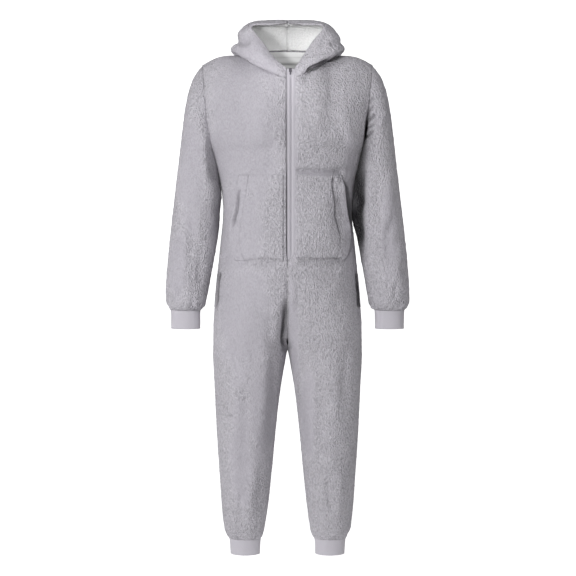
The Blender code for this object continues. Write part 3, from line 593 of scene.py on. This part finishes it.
def noise_at(points, size, seed=0.0, stretch=(1.0, 1.0, 1.0)):
    """Smooth noise, about -1 to 1, with features of one size; stretch lengthens them along an axis."""
    scaled = points / (np.array(stretch) * size) + seed
    return np.array([noise.noise(Vector(point)) for point in scaled])


def line_distance(x, height, line):
    """Distance of points to a line of several stretches, and the share of its length they lie at."""
    points = np.array(line) * MM
    lengths = np.linalg.norm(np.diff(points, axis=0), axis=1)
    starts = np.concatenate(([0.0], np.cumsum(lengths)))
    best = np.full(len(x), 1e9)
    share = np.zeros(len(x))
    for k, length in enumerate(lengths):
        (x0, h0), (x1, h1) = points[k], points[k + 1]
        t = ((x - x0) * (x1 - x0) + (height - h0) * (h1 - h0)) / length ** 2
        t = np.clip(t, 0.0, 1.0)
        away = np.hypot(x - (x0 + (x1 - x0) * t), height - (h0 + (h1 - h0) * t))
        nearer = away < best
        best = np.where(nearer, away, best)
        share = np.where(nearer, (starts[k] + t * length) / starts[-1], share)
    return best, share


def smooth_step(value):
    value = np.clip(value, 0.0, 1.0)
    return value * value * (3.0 - 2.0 * value)


def combed_share(surface):
    """How flat the pile lies at each point, 0 to 1; on the back it lies as on the front."""
    stray = noise_at(surface.co, PATCH_SCALE, 6.6)
    share = np.zeros(len(surface.co))
    for patch in COMBED:
        x, height, half_width, half_height = (value * MM for value in patch)
        away = np.hypot((surface.co[:, 0] - x) / half_width, (surface.height - height) / half_height)
        share = np.maximum(share, smooth_step((1.25 - away + 0.35 * stray) / 0.6))
    return share


def crease_rise(surface, node):
    """How far the creases move each point out of the cloth; their painted shade is left on the surface.
    """
    stray_x = noise_at(surface.co, WANDER_SCALE, 3.1) * WANDER
    stray_h = noise_at(surface.co, WANDER_SCALE, 9.7) * WANDER
    x = surface.co[:, 0] + stray_x
    height = surface.height + stray_h
    rise = np.zeros(len(x))
    surface.shade = np.zeros(len(x))
    for side, rows in CREASES.items():
        axis, sign = SIDES[side]
        facing = surface.lift[:, axis] * sign
        for crease in (Crease(*row) for row in rows):
            if not node.startswith(crease.pieces):
                continue
            away, share = line_distance(x, height, crease.line)
            fade = smooth_step(share / crease.fade) * smooth_step((1.0 - share) / crease.fade)
            near = (away / (crease.width * MM)) ** 2
            profile = (1.0 - CREASE_BANK * near) * np.exp(-CREASE_FALLOFF * near)
            rise += crease.rise * MM * profile * fade * smooth_step(facing * 1.8)
            # painted shade along the crease, where its shadow falls; less on the cloth's inner side
            shaded = crease.shade * np.exp(-near) * fade * smooth_step(0.8 + facing * 1.5)
            surface.shade = np.maximum(surface.shade, shaded)
    return rise


def gather_rise(surface, node):
    """The puckers above the cuffs."""
    rise = np.zeros(len(surface.co))
    for gather in GATHERS:
        if not node.startswith(gather.pieces):
            continue
        puckers = noise_at(surface.co, gather.spacing, 5.3, (1.0, 1.0, 5.0))
        puckers += 0.6 * noise_at(surface.co, gather.spacing * 0.6, 1.7, (1.0, 1.0, 5.0))
        above = np.maximum(surface.height - gather.height, 0.0) / gather.reach
        rise += puckers * gather.rise * np.exp(-above ** 2) * smooth_step(above * 12.0)
    return rise


def pile_rise(surface, height, tuft_rise):
    """The pile: full between the seams, pinched at them, and uneven."""
    sizes = settings()
    puff = 1.0 - SEAM_PINCH * np.exp(-(surface.seam / sizes.seam_reach) ** 2)
    tufts = noise_at(surface.co, sizes.tuft_size, 2.2, (1.0, 1.0, 1.35))
    tufts += 0.6 * noise_at(surface.co, sizes.tuft_size * 0.5, 7.9, (1.0, 1.0, 1.35))
    return puff * (height + tuft_rise * tufts)


def finish_piece(name, mesh, node, material):
    """Puts a finished mesh in the scene in place of its CAD node."""
    mesh.name = name
    mesh.materials.clear()
    mesh.materials.append(material)
    item = bpy.data.objects.new(name, mesh)
    bpy.context.scene.collection.objects.link(item)
    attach(item, GARMENT)
    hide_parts(node)
    return item


# --- Materials ---------------------------------------------------------------------------------

def linear(hex_colour):
    """An sRGB hex colour as linear RGBA."""
    parts = [int(hex_colour[k:k + 2], 16) / 255.0 for k in (1, 3, 5)]
    return tuple(c / 12.92 if c <= 0.04045 else ((c + 0.055) / 1.055) ** 2.4 for c in parts) + (1.0,)


def add_node(tree, kind, values=None, links=None, **fields):
    """A node with its fields, its unlinked inputs' values and its links, input to output socket."""
    node = tree.nodes.new(kind)
    for field, value in fields.items():
        setattr(node, field, value)
    for key, value in (values or {}).items():
        node.inputs[key].default_value = value
    for key, socket in (links or {}).items():
        tree.links.new(socket, node.inputs[key])
    return node


def new_material(name, **shader_values):
    """A Principled material, its tree and its shader; names hold the finish."""
    material = bpy.data.materials.new(name)
    material.use_nodes = True
    shader = material.node_tree.nodes["Principled BSDF"]
    for key, value in shader_values.items():
        shader.inputs[key.replace("_", " ")].default_value = value
    return material, material.node_tree, shader


def pile_material(name, light, shaded, curl, streak, depth, sheen):
    """Brushed polyester pile: curled tufts with painted light at their tips and painted shade in their
    depths, and a soft sheen.

    curl is the width of a curl and streak its length along the nap, both in metres.
    """
    material, tree, shader = new_material(name, Roughness=0.95, Specular_IOR_Level=0.15,
                                          Sheen_Weight=sheen, Sheen_Roughness=0.5)
    place = add_node(tree, "ShaderNodeTexCoord").outputs["Object"]
    nap = add_node(tree, "ShaderNodeMapping", {"Scale": (1.0 / curl, 1.0 / curl, 1.0 / streak)},
                   {"Vector": place}).outputs["Vector"]
    curls = add_node(tree, "ShaderNodeTexNoise", {"Scale": 0.8, "Detail": 3.0, "Roughness": 0.62,
                                                  "Distortion": 0.9}, {"Vector": nap})
    cells = add_node(tree, "ShaderNodeTexVoronoi", {"Scale": 0.85, "Smoothness": 0.6}, {"Vector": nap},
                     feature="SMOOTH_F1")
    body = add_node(tree, "ShaderNodeMath", {1: -0.55}, {0: cells.outputs["Distance"]},
                    operation="MULTIPLY")
    height = add_node(tree, "ShaderNodeMath", {}, {0: curls.outputs["Fac"], 1: body.outputs[0]},
                      operation="ADD")
    drift = add_node(tree, "ShaderNodeTexNoise", {"Scale": 9.0, "Detail": 2.0}, {"Vector": place})
    # painted light and shade of the tufts: lighter at their tips, darker in the depths between them,
    # from the same height as the bump
    tips = add_node(tree, "ShaderNodeMapRange",
                    {"From Min": -0.12, "From Max": 0.42, "To Min": 0.0, "To Max": 1.0},
                    {"Value": height.outputs[0]})
    swing = add_node(tree, "ShaderNodeMapRange",
                     {"From Min": 0.3, "From Max": 0.7, "To Min": -0.10, "To Max": 0.10},
                     {"Value": drift.outputs["Fac"]})
    mixed = add_node(tree, "ShaderNodeMath", {},
                     {0: tips.outputs["Result"], 1: swing.outputs["Result"]},
                     operation="ADD", use_clamp=True)
    combed = add_node(tree, "ShaderNodeAttribute", attribute_name="combed").outputs["Fac"]
    evened = add_node(tree, "ShaderNodeMapRange", {"To Min": 0.0, "To Max": 0.65}, {"Value": combed})
    evened = add_node(tree, "ShaderNodeMix", {"B": -0.15},
                      {"Factor": evened.outputs["Result"], "A": mixed.outputs[0]})
    colour = add_node(tree, "ShaderNodeMix", {"A": linear(shaded), "B": linear(light)},
                      {"Factor": evened.outputs["Result"]}, data_type="RGBA")
    strength = add_node(tree, "ShaderNodeMapRange", {"To Min": 0.9, "To Max": 0.36}, {"Value": combed})
    bump = add_node(tree, "ShaderNodeBump", {"Distance": depth},
                    {"Height": height.outputs[0], "Strength": strength.outputs["Result"]})
    # painted shade: the shade attribute mixes the colour towards the painted shade colour in creases,
    # folds and gaps where shadow falls
    shade = add_node(tree, "ShaderNodeAttribute", attribute_name="shade").outputs["Fac"]
    colour = add_node(tree, "ShaderNodeMix", {"B": linear(colours().painted_shade_colour)},
                      {"Factor": shade, "A": colour.outputs["Result"]}, data_type="RGBA")
    tree.links.new(colour.outputs["Result"], shader.inputs["Base Color"])
    tree.links.new(bump.outputs["Normal"], shader.inputs["Normal"])
    return material


def plush_material():
    """Short polyester plush, knitted, raised and tumbled: matt and grainy, with painted light at its
    tips and painted shade between them.
    """
    return bpy.data.materials.get("plush_fleece") or pile_material(
        "plush_fleece", colours().plush_light, colours().plush_dark, 0.0036, 0.0060, 0.0110, 0.12)


def sherpa_material():
    """White sherpa fleece: tighter, brighter curls."""
    return bpy.data.materials.get("sherpa_fleece") or pile_material(
        "sherpa_fleece", colours().lining_light, colours().lining_dark, 0.0042, 0.0046, 0.0028, 0.2)


def brushed_knit_material():
    """Smooth brushed knit of the back-neck facing: nearly plain, with a faint fuzz."""
    return bpy.data.materials.get("brushed_knit") or pile_material(
        "brushed_knit", colours().facing, colours().facing, 0.0030, 0.0050, 0.0008, 0.15)


def rib_knit_material(pitch):
    """Doubled rib knit of the cuffs: soft vertical ribs. u runs round the cuff, in metres."""
    material, tree, shader = new_material("rib_knit", Roughness=0.9, Specular_IOR_Level=0.2,
                                          Sheen_Weight=0.2)
    place = add_node(tree, "ShaderNodeTexCoord")
    ribs = add_node(tree, "ShaderNodeTexWave", {"Scale": 1.0, "Distortion": 0.4, "Detail": 1.0},
                    {"Vector": add_node(tree, "ShaderNodeMapping",
                                        {"Scale": (math.pi / 10 / pitch, 0.0, 0.0)},
                                        {"Vector": place.outputs["UV"]}).outputs["Vector"]})
    fuzz = add_node(tree, "ShaderNodeTexNoise", {"Scale": 420.0, "Detail": 2.0},
                    {"Vector": place.outputs["Object"]})
    height = add_node(tree, "ShaderNodeMath", {1: 0.5},
                      {0: fuzz.outputs["Fac"], 2: ribs.outputs["Fac"]}, operation="MULTIPLY_ADD")
    # painted shade in the grooves between the ribs, lighter on the ribs
    colour = add_node(tree, "ShaderNodeMix", {"A": linear(colours().knit_dark),
                                              "B": linear(colours().knit_light)},
                      {"Factor": ribs.outputs["Fac"]}, data_type="RGBA")
    bump = add_node(tree, "ShaderNodeBump", {"Strength": 0.35, "Distance": 0.001},
                    {"Height": height.outputs[0]})
    tree.links.new(colour.outputs["Result"], shader.inputs["Base Color"])
    tree.links.new(bump.outputs["Normal"], shader.inputs["Normal"])
    return material


def woven_material(name, hex_colour):
    """Woven polyester tape: fine crossing threads, drawn at 1.6 mm so that they show."""
    material, tree, shader = new_material(name, Roughness=0.75, Specular_IOR_Level=0.3)
    place = add_node(tree, "ShaderNodeTexCoord").outputs["Object"]
    threads = [add_node(tree, "ShaderNodeTexWave", {"Scale": math.pi / 10 / 0.0016 * 0.5},
                        {"Vector": place}, bands_direction=axis).outputs["Fac"] for axis in "XZ"]
    height = add_node(tree, "ShaderNodeMath", {}, {0: threads[0], 1: threads[1]}, operation="MULTIPLY")
    # painted shade where the threads sink between their crossings
    base = linear(hex_colour)
    deep = tuple(channel * 0.8 for channel in base[:3]) + (1.0,)
    colour = add_node(tree, "ShaderNodeMix", {"A": deep, "B": base}, {"Factor": height.outputs[0]},
                      data_type="RGBA")
    bump = add_node(tree, "ShaderNodeBump", {"Strength": 0.4, "Distance": 0.0005},
                    {"Height": height.outputs[0]})
    tree.links.new(colour.outputs["Result"], shader.inputs["Base Color"])
    tree.links.new(bump.outputs["Normal"], shader.inputs["Normal"])
    return material


def nylon_material():
    """Extruded nylon of the zip's teeth: smooth, with a satin gloss."""
    material, tree, shader = new_material("nylon_coil", Roughness=0.42, IOR=1.53)
    place = add_node(tree, "ShaderNodeTexCoord").outputs["Object"]
    speck = add_node(tree, "ShaderNodeTexNoise", {"Scale": 900.0, "Detail": 1.0}, {"Vector": place})
    base = linear(colours().coil)
    worn = tuple(channel * 0.86 for channel in base[:3]) + (1.0,)
    colour = add_node(tree, "ShaderNodeMix", {"A": worn, "B": base}, {"Factor": speck.outputs["Fac"]},
                      data_type="RGBA")
    tree.links.new(colour.outputs["Result"], shader.inputs["Base Color"])
    return material


def lacquered_zinc_material():
    """Die-cast zinc with a grey lacquer: half gloss, slightly rubbed."""
    material, tree, shader = new_material("lacquered_zinc", Metallic=0.85, Roughness=0.35)
    place = add_node(tree, "ShaderNodeTexCoord").outputs["Object"]
    rub = add_node(tree, "ShaderNodeTexNoise", {"Scale": 700.0, "Detail": 3.0}, {"Vector": place})
    rough = add_node(tree, "ShaderNodeMapRange", {"To Min": 0.28, "To Max": 0.46},
                     {"Value": rub.outputs["Fac"]})
    base = linear(colours().metal)
    bright = tuple(min(1.0, channel * 1.5) for channel in base[:3]) + (1.0,)
    colour = add_node(tree, "ShaderNodeMix", {"A": base, "B": bright}, {"Factor": rub.outputs["Fac"]},
                      data_type="RGBA")
    tree.links.new(colour.outputs["Result"], shader.inputs["Base Color"])
    tree.links.new(rough.outputs["Result"], shader.inputs["Roughness"])
    return material


def backdrop_material():
    """Seamless matt paper that glows to an even white behind the garment."""
    material, tree, shader = new_material("studio_paper", Roughness=1.0, Specular_IOR_Level=0.0)
    shader.inputs["Base Color"].default_value = linear(colours().backdrop)
    shader.inputs["Emission Color"].default_value = (1.0, 1.0, 1.0, 1.0)
    place = add_node(tree, "ShaderNodeTexCoord").outputs["Object"]
    depth = add_node(tree, "ShaderNodeSeparateXYZ", {}, {"Vector": place}).outputs["Y"]
    glow = add_node(tree, "ShaderNodeMapRange", {"From Min": -0.3, "From Max": 0.12, "To Min": 0.0,
                                                 "To Max": 0.8}, {"Value": depth})
    tree.links.new(glow.outputs["Result"], shader.inputs["Emission Strength"])
    return material


# --- Pieces ------------------------------------------------------------------------------------

# The fields of a piece's cut: width and length of its flat rectangle, the area of its cloth, and held;
# no piece is given a cut here
Cut = namedtuple("Cut", "width length area held")


def plush_piece(node, pile=1.0, step=None, covered=None):
    """A piece of plush: creased with its neighbours, with its pile on the outer side.

    covered holds the points of a lining; where the cloth has none behind it, it is rolled in.
    """
    sizes = settings()
    mesh = cloth_mesh(node, node + "_plush", step or sizes.mesh_step, sizes.levels)
    surface = Surface(mesh)
    if node.startswith("pocket") and node.endswith("right"):
        outwards = smooth_step((surface.co[:, 0] - MOUTH_START) / MOUTH_REACH)
        level = np.exp(-((surface.height - MOUTH_HEIGHT) / MOUTH_SPAN) ** 2)
        surface.co[:, 0] -= MOUTH_DROOP * outwards * level
    cloth = crease_rise(surface, node) + gather_rise(surface, node)
    pile_side = smooth_step(surface.facing * 2.0 - 1.0)
    rise = pile_rise(surface, sizes.pile_height * pile, sizes.tuft_rise * pile)
    surface.move(cloth + pile_side * rise)
    if covered:
        surface.close_centre()
        uncreased = surface.co - surface.lift * cloth[:, None]
        bare = np.array([covered.find(point)[2] for point in uncreased])
        surface.move(-LIP * smooth_step((bare - LIP_START) / LIP_BLEND) * (1.0 - pile_side))
    surface.write()
    item = finish_piece(node + "_plush", mesh, node, plush_material())
    return item


class ONESIE_OT_body(bpy.types.Operator):
    """Builds the plush fronts and backs, from ankle to shoulder"""
    bl_idname = "onesie.body"
    bl_label = "Body Panels"
    bl_options = {"REGISTER", "UNDO"}

    def execute(self, context):
        for node in MAIN_PANELS:
            plush_piece(node)
        return {"FINISHED"}


class ONESIE_OT_sleeves(bpy.types.Operator):
    """Builds the plush sleeves"""
    bl_idname = "onesie.sleeves"
    bl_label = "Sleeves"
    bl_options = {"REGISTER", "UNDO"}

    def execute(self, context):
        for node in SLEEVES:
            plush_piece(node)
        return {"FINISHED"}


class ONESIE_OT_hood(bpy.types.Operator):
    """Builds the hood's plush halves and its sherpa lining"""
    bl_idname = "onesie.hood"
    bl_label = "Hood and Lining"
    bl_options = {"REGISTER", "UNDO"}

    def execute(self, context):
        lining_points = []
        for node in LININGS:
            lining_points += self.lining(node)
        covered = KDTree(len(lining_points))
        for number, point in enumerate(lining_points):
            covered.insert(point, number)
        covered.balance()
        for node in HOODS:
            plush_piece(node, step=HOOD_STEP, covered=covered)
        return {"FINISHED"}

    def lining(self, node):
        """Builds half of the lining and returns its points."""
        sizes = settings()
        mesh = cloth_mesh(node, node + "_sherpa", sizes.mesh_step, sizes.levels)
        surface = Surface(mesh)
        surface.close_centre()
        points = [Vector(point) for point in surface.co]
        cloth = crease_rise(surface, node)
        pile_side = smooth_step(1.0 - surface.facing * 2.0)
        rise = pile_rise(surface, sizes.pile_height * LINING_PILE, sizes.tuft_rise * LINING_TUFTS)
        surface.move(cloth - pile_side * rise)
        edge = np.exp(-(surface.seam / LINING_EDGE) ** 2)
        surface.move(LINING_TUCK * edge)
        # painted shadow along the lining's edges, where the plush rim overhangs them; at the centre
        # only near the top
        rim = smooth_step((np.abs(surface.co[:, 0]) - 0.003) / 0.004)
        below_top = surface.co[:, 2].max() - surface.co[:, 2]
        rim = np.maximum(rim, smooth_step((0.012 - below_top) / 0.006))
        surface.shade = np.maximum(surface.shade, RIM_SHADE * edge * rim)
        surface.write()
        item = finish_piece(node + "_sherpa", mesh, node, sherpa_material())
        return points


class ONESIE_OT_pockets(bpy.types.Operator):
    """Builds the kangaroo pockets, their bands and the side pockets' trims"""
    bl_idname = "onesie.pockets"
    bl_label = "Pockets"
    bl_options = {"REGISTER", "UNDO"}

    def execute(self, context):
        for node in POCKETS:
            plush_piece(node, step=POCKET_STEP)
        for node in TRIMS:
            plush_piece(node, pile=TRIM_PILE, step=POCKET_STEP)
        return {"FINISHED"}


class ONESIE_OT_cuffs(bpy.types.Operator):
    """Builds the rib-knit cuffs at wrists and ankles"""
    bl_idname = "onesie.cuffs"
    bl_label = "Cuffs"
    bl_options = {"REGISTER", "UNDO"}

    def execute(self, context):
        material = rib_knit_material(settings().rib_pitch)
        for node in CUFFS:
            mesh = cloth_mesh(node, node + "_knit", FLAT_STEP, 3)
            surface = Surface(mesh)
            slack = noise_at(surface.co, SLACK_SIZE, 4.4, (1.0, 1.0, 1.6)) * SLACK
            surface.move(slack * (1.0 - np.exp(-(surface.seam / SLACK_FREE) ** 2)))
            surface.write()
            self.wrap(mesh)
            item = finish_piece(node + "_knit", mesh, node, material)
        return {"FINISHED"}

    def wrap(self, mesh):
        """A UV map in metres: u round the cuff, v up it."""
        low = Vector(map(min, *(vert.co for vert in mesh.vertices)))
        high = Vector(map(max, *(vert.co for vert in mesh.vertices)))
        centre = (low + high) / 2
        radius = (high.x - low.x + high.y - low.y) / 4
        layer = mesh.uv_layers.new(name="round_and_up")
        for face in mesh.polygons:
            angles = []
            for loop in face.loop_indices:
                co = mesh.vertices[mesh.loops[loop].vertex_index].co
                angle = math.atan2(co.y - centre.y, co.x - centre.x)
                if angles and angle - angles[0] > math.pi:
                    angle -= 2.0 * math.pi
                if angles and angle - angles[0] < -math.pi:
                    angle += 2.0 * math.pi
                angles.append(angle)
                layer.data[loop].uv = (angle * radius, co.z - low.z)


class ONESIE_OT_neck(bpy.types.Operator):
    """Builds the back-neck facing and the tape over the neck seam"""
    bl_idname = "onesie.neck"
    bl_label = "Neck Facing and Tape"
    bl_options = {"REGISTER", "UNDO"}

    def execute(self, context):
        pieces = (("back_neck_facing", "facing", brushed_knit_material()),
                  ("neck_tape", "neck_tape", woven_material("cotton_tape", colours().tape)))
        for node, slot, material in pieces:
            mesh = cloth_mesh(node, node + "_cloth", FLAT_STEP, 3)
            surface = Surface(mesh)
            surface.move(crease_rise(surface, node))
            if node == "back_neck_facing":
                # painted shadow on the facing just below the neck tape
                below_tape = surface.co[:, 2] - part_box("neck_tape")[0].z
                surface.shade = TAPE_SHADOW * np.exp(-(below_tape / TAPE_SHADOW_REACH) ** 2)
            surface.write()
            item = finish_piece(node + "_cloth", mesh, node, material)
        return {"FINISHED"}


def zip_line():
    """Points up the middle of the zip's coil, on its front face."""
    points = sorted((vert.co.copy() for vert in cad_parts["zip_coil"].data.vertices),
                    key=lambda co: co.z)
    rows = []
    for point in points:
        if not rows or point.z - rows[-1][0].z > COIL_ROW_GAP:
            rows.append([])
        rows[-1].append(point)
    return [Vector((ZIP_X, min(co.y for co in row), sum(co.z for co in row) / len(row)))
            for row in rows]


def along_line(line, pitch):
    """Points a pitch apart along a line of points."""
    found, carried = [], 0.0
    for a, b in zip(line, line[1:]):
        length = (b - a).length
        while carried <= length:
            found.append((a.lerp(b, carried / length), (b - a).normalized()))
            carried += pitch
        carried -= length
    return found


class ONESIE_OT_zip(bpy.types.Operator):
    """Builds the zip's tapes and teeth and gives its slider and pull tab their metal"""
    bl_idname = "onesie.zip"
    bl_label = "Zip"
    bl_options = {"REGISTER", "UNDO"}

    def execute(self, context):
        tape = woven_material("woven_zip_tape", colours().zip_tape)
        for node in TAPES:
            mesh = cloth_mesh(node, node + "_woven", TAPE_STEP, 3)
            surface = Surface(mesh)
            away = np.abs(surface.co[:, 0] - ZIP_X)
            ridge = RIDGE * np.exp(-((away - RIDGE_AT) / RIDGE_WIDTH) ** 2)
            opening = smooth_step((ZIP_X - GROOVE_START - surface.co[:, 0]) / GROOVE_BLEND)
            beside_pocket = smooth_step((POCKET_TOP - surface.height) / GROOVE_CHANGE)
            depth = GROOVE_DEPTH + GROOVE_MORE * beside_pocket
            surface.move(ridge - opening * depth)
            surface.write()
            item = finish_piece(node + "_woven", mesh, node, tape)
        self.teeth(nylon_material())
        metal = lacquered_zinc_material()
        for node in ("zip_slider", "zip_pull_tab"):
            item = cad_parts[node]
            item.data.materials.clear()
            item.data.materials.append(metal)
        return {"FINISHED"}

    def teeth(self, material):
        """Interlocked coil teeth, alternately from the left and the right tape."""
        low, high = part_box("zip_coil")
        reach = (high.x - low.x) / 2
        pitch = settings().tooth_pitch
        teeth = bmesh.new()
        for number, (point, along) in enumerate(along_line(zip_line(), pitch / 2)):
            side = 1.0 if number % 2 else -1.0
            tooth = bmesh.ops.create_cube(teeth, size=1.0)["verts"]
            bmesh.ops.scale(teeth, vec=(reach * TOOTH_WIDTH, TOOTH_DEPTH, pitch * TOOTH_THICKNESS),
                            verts=tooth)
            edges = list({edge for vert in tooth for edge in vert.link_edges})
            bevelled = bmesh.ops.bevel(teeth, geom=edges, offset=TOOTH_BEVEL, segments=1,
                                       profile=0.5, affect="EDGES", material=-1)
            tooth = list({vert for face in bevelled["faces"] for vert in face.verts} | {
                vert for vert in tooth if vert.is_valid})
            out = Vector((1.0, 0.0, 0.0)).cross(along).normalized()
            turn = Matrix(((1.0, 0.0, 0.0), -out, along)).transposed()
            bmesh.ops.rotate(teeth, matrix=turn, verts=tooth)
            centre = point + Vector((side * reach * TOOTH_SHIFT, 0.0, 0.0)) - out * TOOTH_SUNK
            bmesh.ops.translate(teeth, vec=centre, verts=tooth)
        bmesh.ops.recalc_face_normals(teeth, faces=teeth.faces[:])
        mesh = bpy.data.meshes.new("zip_teeth")
        teeth.to_mesh(mesh)
        teeth.free()
        finish_piece("zip_teeth", mesh, "zip_coil", material)


# --- Studio ------------------------------------------------------------------------------------

class ONESIE_OT_stage(bpy.types.Operator):
    """Builds the camera, the lights and the seamless backdrop"""
    bl_idname = "onesie.stage"
    bl_label = "Studio"
    bl_options = {"REGISTER", "UNDO"}

    camera_height: FloatProperty(name="Camera height", description="Above the ankle hems",
                                 default=1.2, unit="LENGTH")
    camera_distance: FloatProperty(name="Camera distance", description="In front of the garment",
                                   default=4.8, unit="LENGTH")
    view_width: FloatProperty(name="View width", description="Width seen at the garment",
                              default=1.757, unit="LENGTH")
    aim_height: FloatProperty(name="Aim height", description="Middle of the view above the hems",
                              default=0.825, unit="LENGTH")

    def execute(self, context):
        self.camera(context)
        self.lights(context)
        self.backdrop(context)
        context.scene.view_settings.view_transform = "Standard"
        return {"FINISHED"}

    def camera(self, context):
        data = bpy.data.cameras.new("camera")
        camera = bpy.data.objects.new("camera", data)
        context.scene.collection.objects.link(camera)
        aim = Vector((0.0015, 0.0, HEM_Z + self.aim_height))
        eye = Vector((0.0015, -self.camera_distance, HEM_Z + self.camera_height))
        camera.location = eye
        camera.rotation_euler = (aim - eye).to_track_quat("-Z", "Y").to_euler()
        data.sensor_width = 36.0
        data.lens = data.sensor_width * (aim - eye).length / self.view_width
        data.clip_end = 50.0
        context.scene.camera = camera

    def lights(self, context):
        world = bpy.data.worlds.new("studio")
        world.use_nodes = True
        ground = world.node_tree.nodes["Background"]
        ground.inputs["Color"].default_value = (1.0, 1.0, 1.0, 1.0)
        ground.inputs["Strength"].default_value = 0.21
        context.scene.world = world
        Lamp = namedtuple("Lamp", "name place size power")
        lamps = (Lamp("key", (-2.6, -2.9, 0.5), 1.0, 68.0),
                 Lamp("front", (-1.2, -4.8, -0.3), 0.6, 115.0),
                 Lamp("top", (0.5, -0.9, 1.5), 0.8, 8.0))
        for lamp in lamps:
            data = bpy.data.lights.new(lamp.name, "AREA")
            data.shape = "DISK"
            data.size = lamp.size
            data.energy = lamp.power
            item = bpy.data.objects.new(lamp.name, data)
            item.location = lamp.place
            aim = Vector((0.0, 0.0, HEM_Z + self.aim_height)) - item.location
            item.rotation_euler = aim.to_track_quat("-Z", "Y").to_euler()
            context.scene.collection.objects.link(item)
        self.hood_spot(context)

    def hood_spot(self, context):
        """A narrow spot into the hood, so that its lining shows."""
        data = bpy.data.lights.new("hood_spot", "SPOT")
        data.spot_size = math.radians(8.5)
        data.spot_blend = 0.7
        data.shadow_soft_size = 0.12
        data.energy = 150.0
        item = bpy.data.objects.new("hood_spot", data)
        item.location = (0.10, -3.0, HEM_Z + 1.52)
        aim = Vector((0.0, 0.0, HEM_Z + 1.565)) - item.location
        item.rotation_euler = aim.to_track_quat("-Z", "Y").to_euler()
        context.scene.collection.objects.link(item)

    def backdrop(self, context):
        """A floor that curves up into a wall behind the garment."""
        paper = bmesh.new()
        bmesh.ops.create_grid(paper, x_segments=1, y_segments=24, size=1.0)
        depth_front, depth_back, half_width, radius, drop = 8.0, 3.5, 8.0, 2.0, 0.10
        for vert in paper.verts:
            share = (vert.co.y + 1.0) / 2.0
            run = share * (depth_front + depth_back + 6.0) - depth_front
            bend = max(0.0, run - depth_back)
            angle = min(bend / radius, math.pi / 2)
            straight = max(0.0, bend - radius * math.pi / 2)
            y = min(run, depth_back) + radius * math.sin(angle)
            z = radius * (1.0 - math.cos(angle)) + straight
            vert.co = Vector((vert.co.x * half_width, y, HEM_Z - drop + z))
        mesh = bpy.data.meshes.new("backdrop")
        paper.to_mesh(mesh)
        paper.free()
        mesh.shade_smooth()
        mesh.materials.append(backdrop_material())
        item = bpy.data.objects.new("backdrop", mesh)
        context.scene.collection.objects.link(item)


class ONESIE_PT_panel(bpy.types.Panel):
    """Lists the steps and the settings in the sidebar"""
    bl_label = "Plush Onesie"
    bl_idname = "ONESIE_PT_panel"
    bl_space_type = "VIEW_3D"
    bl_region_type = "UI"
    bl_category = "Onesie"

    def draw(self, context):
        for group in (context.scene.onesie_sizes, context.scene.onesie_colours):
            box = self.layout.box()
            for name in group.__annotations__:
                box.prop(group, name)
        for operator in OPERATORS:
            self.layout.operator(operator.bl_idname)


OPERATORS = (ONESIE_OT_body, ONESIE_OT_sleeves, ONESIE_OT_hood, ONESIE_OT_pockets, ONESIE_OT_cuffs,
             ONESIE_OT_neck, ONESIE_OT_zip, ONESIE_OT_stage)
CLASSES = (OnesieSizes, OnesieColours) + OPERATORS + (ONESIE_PT_panel,)


def register():
    for cls in CLASSES:
        bpy.utils.register_class(cls)
    bpy.types.Scene.onesie_sizes = PointerProperty(type=OnesieSizes)
    bpy.types.Scene.onesie_colours = PointerProperty(type=OnesieColours)


def unregister():
    del bpy.types.Scene.onesie_colours
    del bpy.types.Scene.onesie_sizes
    for cls in reversed(CLASSES):
        bpy.utils.unregister_class(cls)


def main():
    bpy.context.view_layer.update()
    register()
    Junctions.find()
    bpy.ops.onesie.body()
    bpy.ops.onesie.sleeves()
    bpy.ops.onesie.hood()
    bpy.ops.onesie.pockets()
    bpy.ops.onesie.cuffs()
    bpy.ops.onesie.neck()
    bpy.ops.onesie.zip()
    bpy.ops.onesie.stage()


if __name__ == "__main__":
    main()
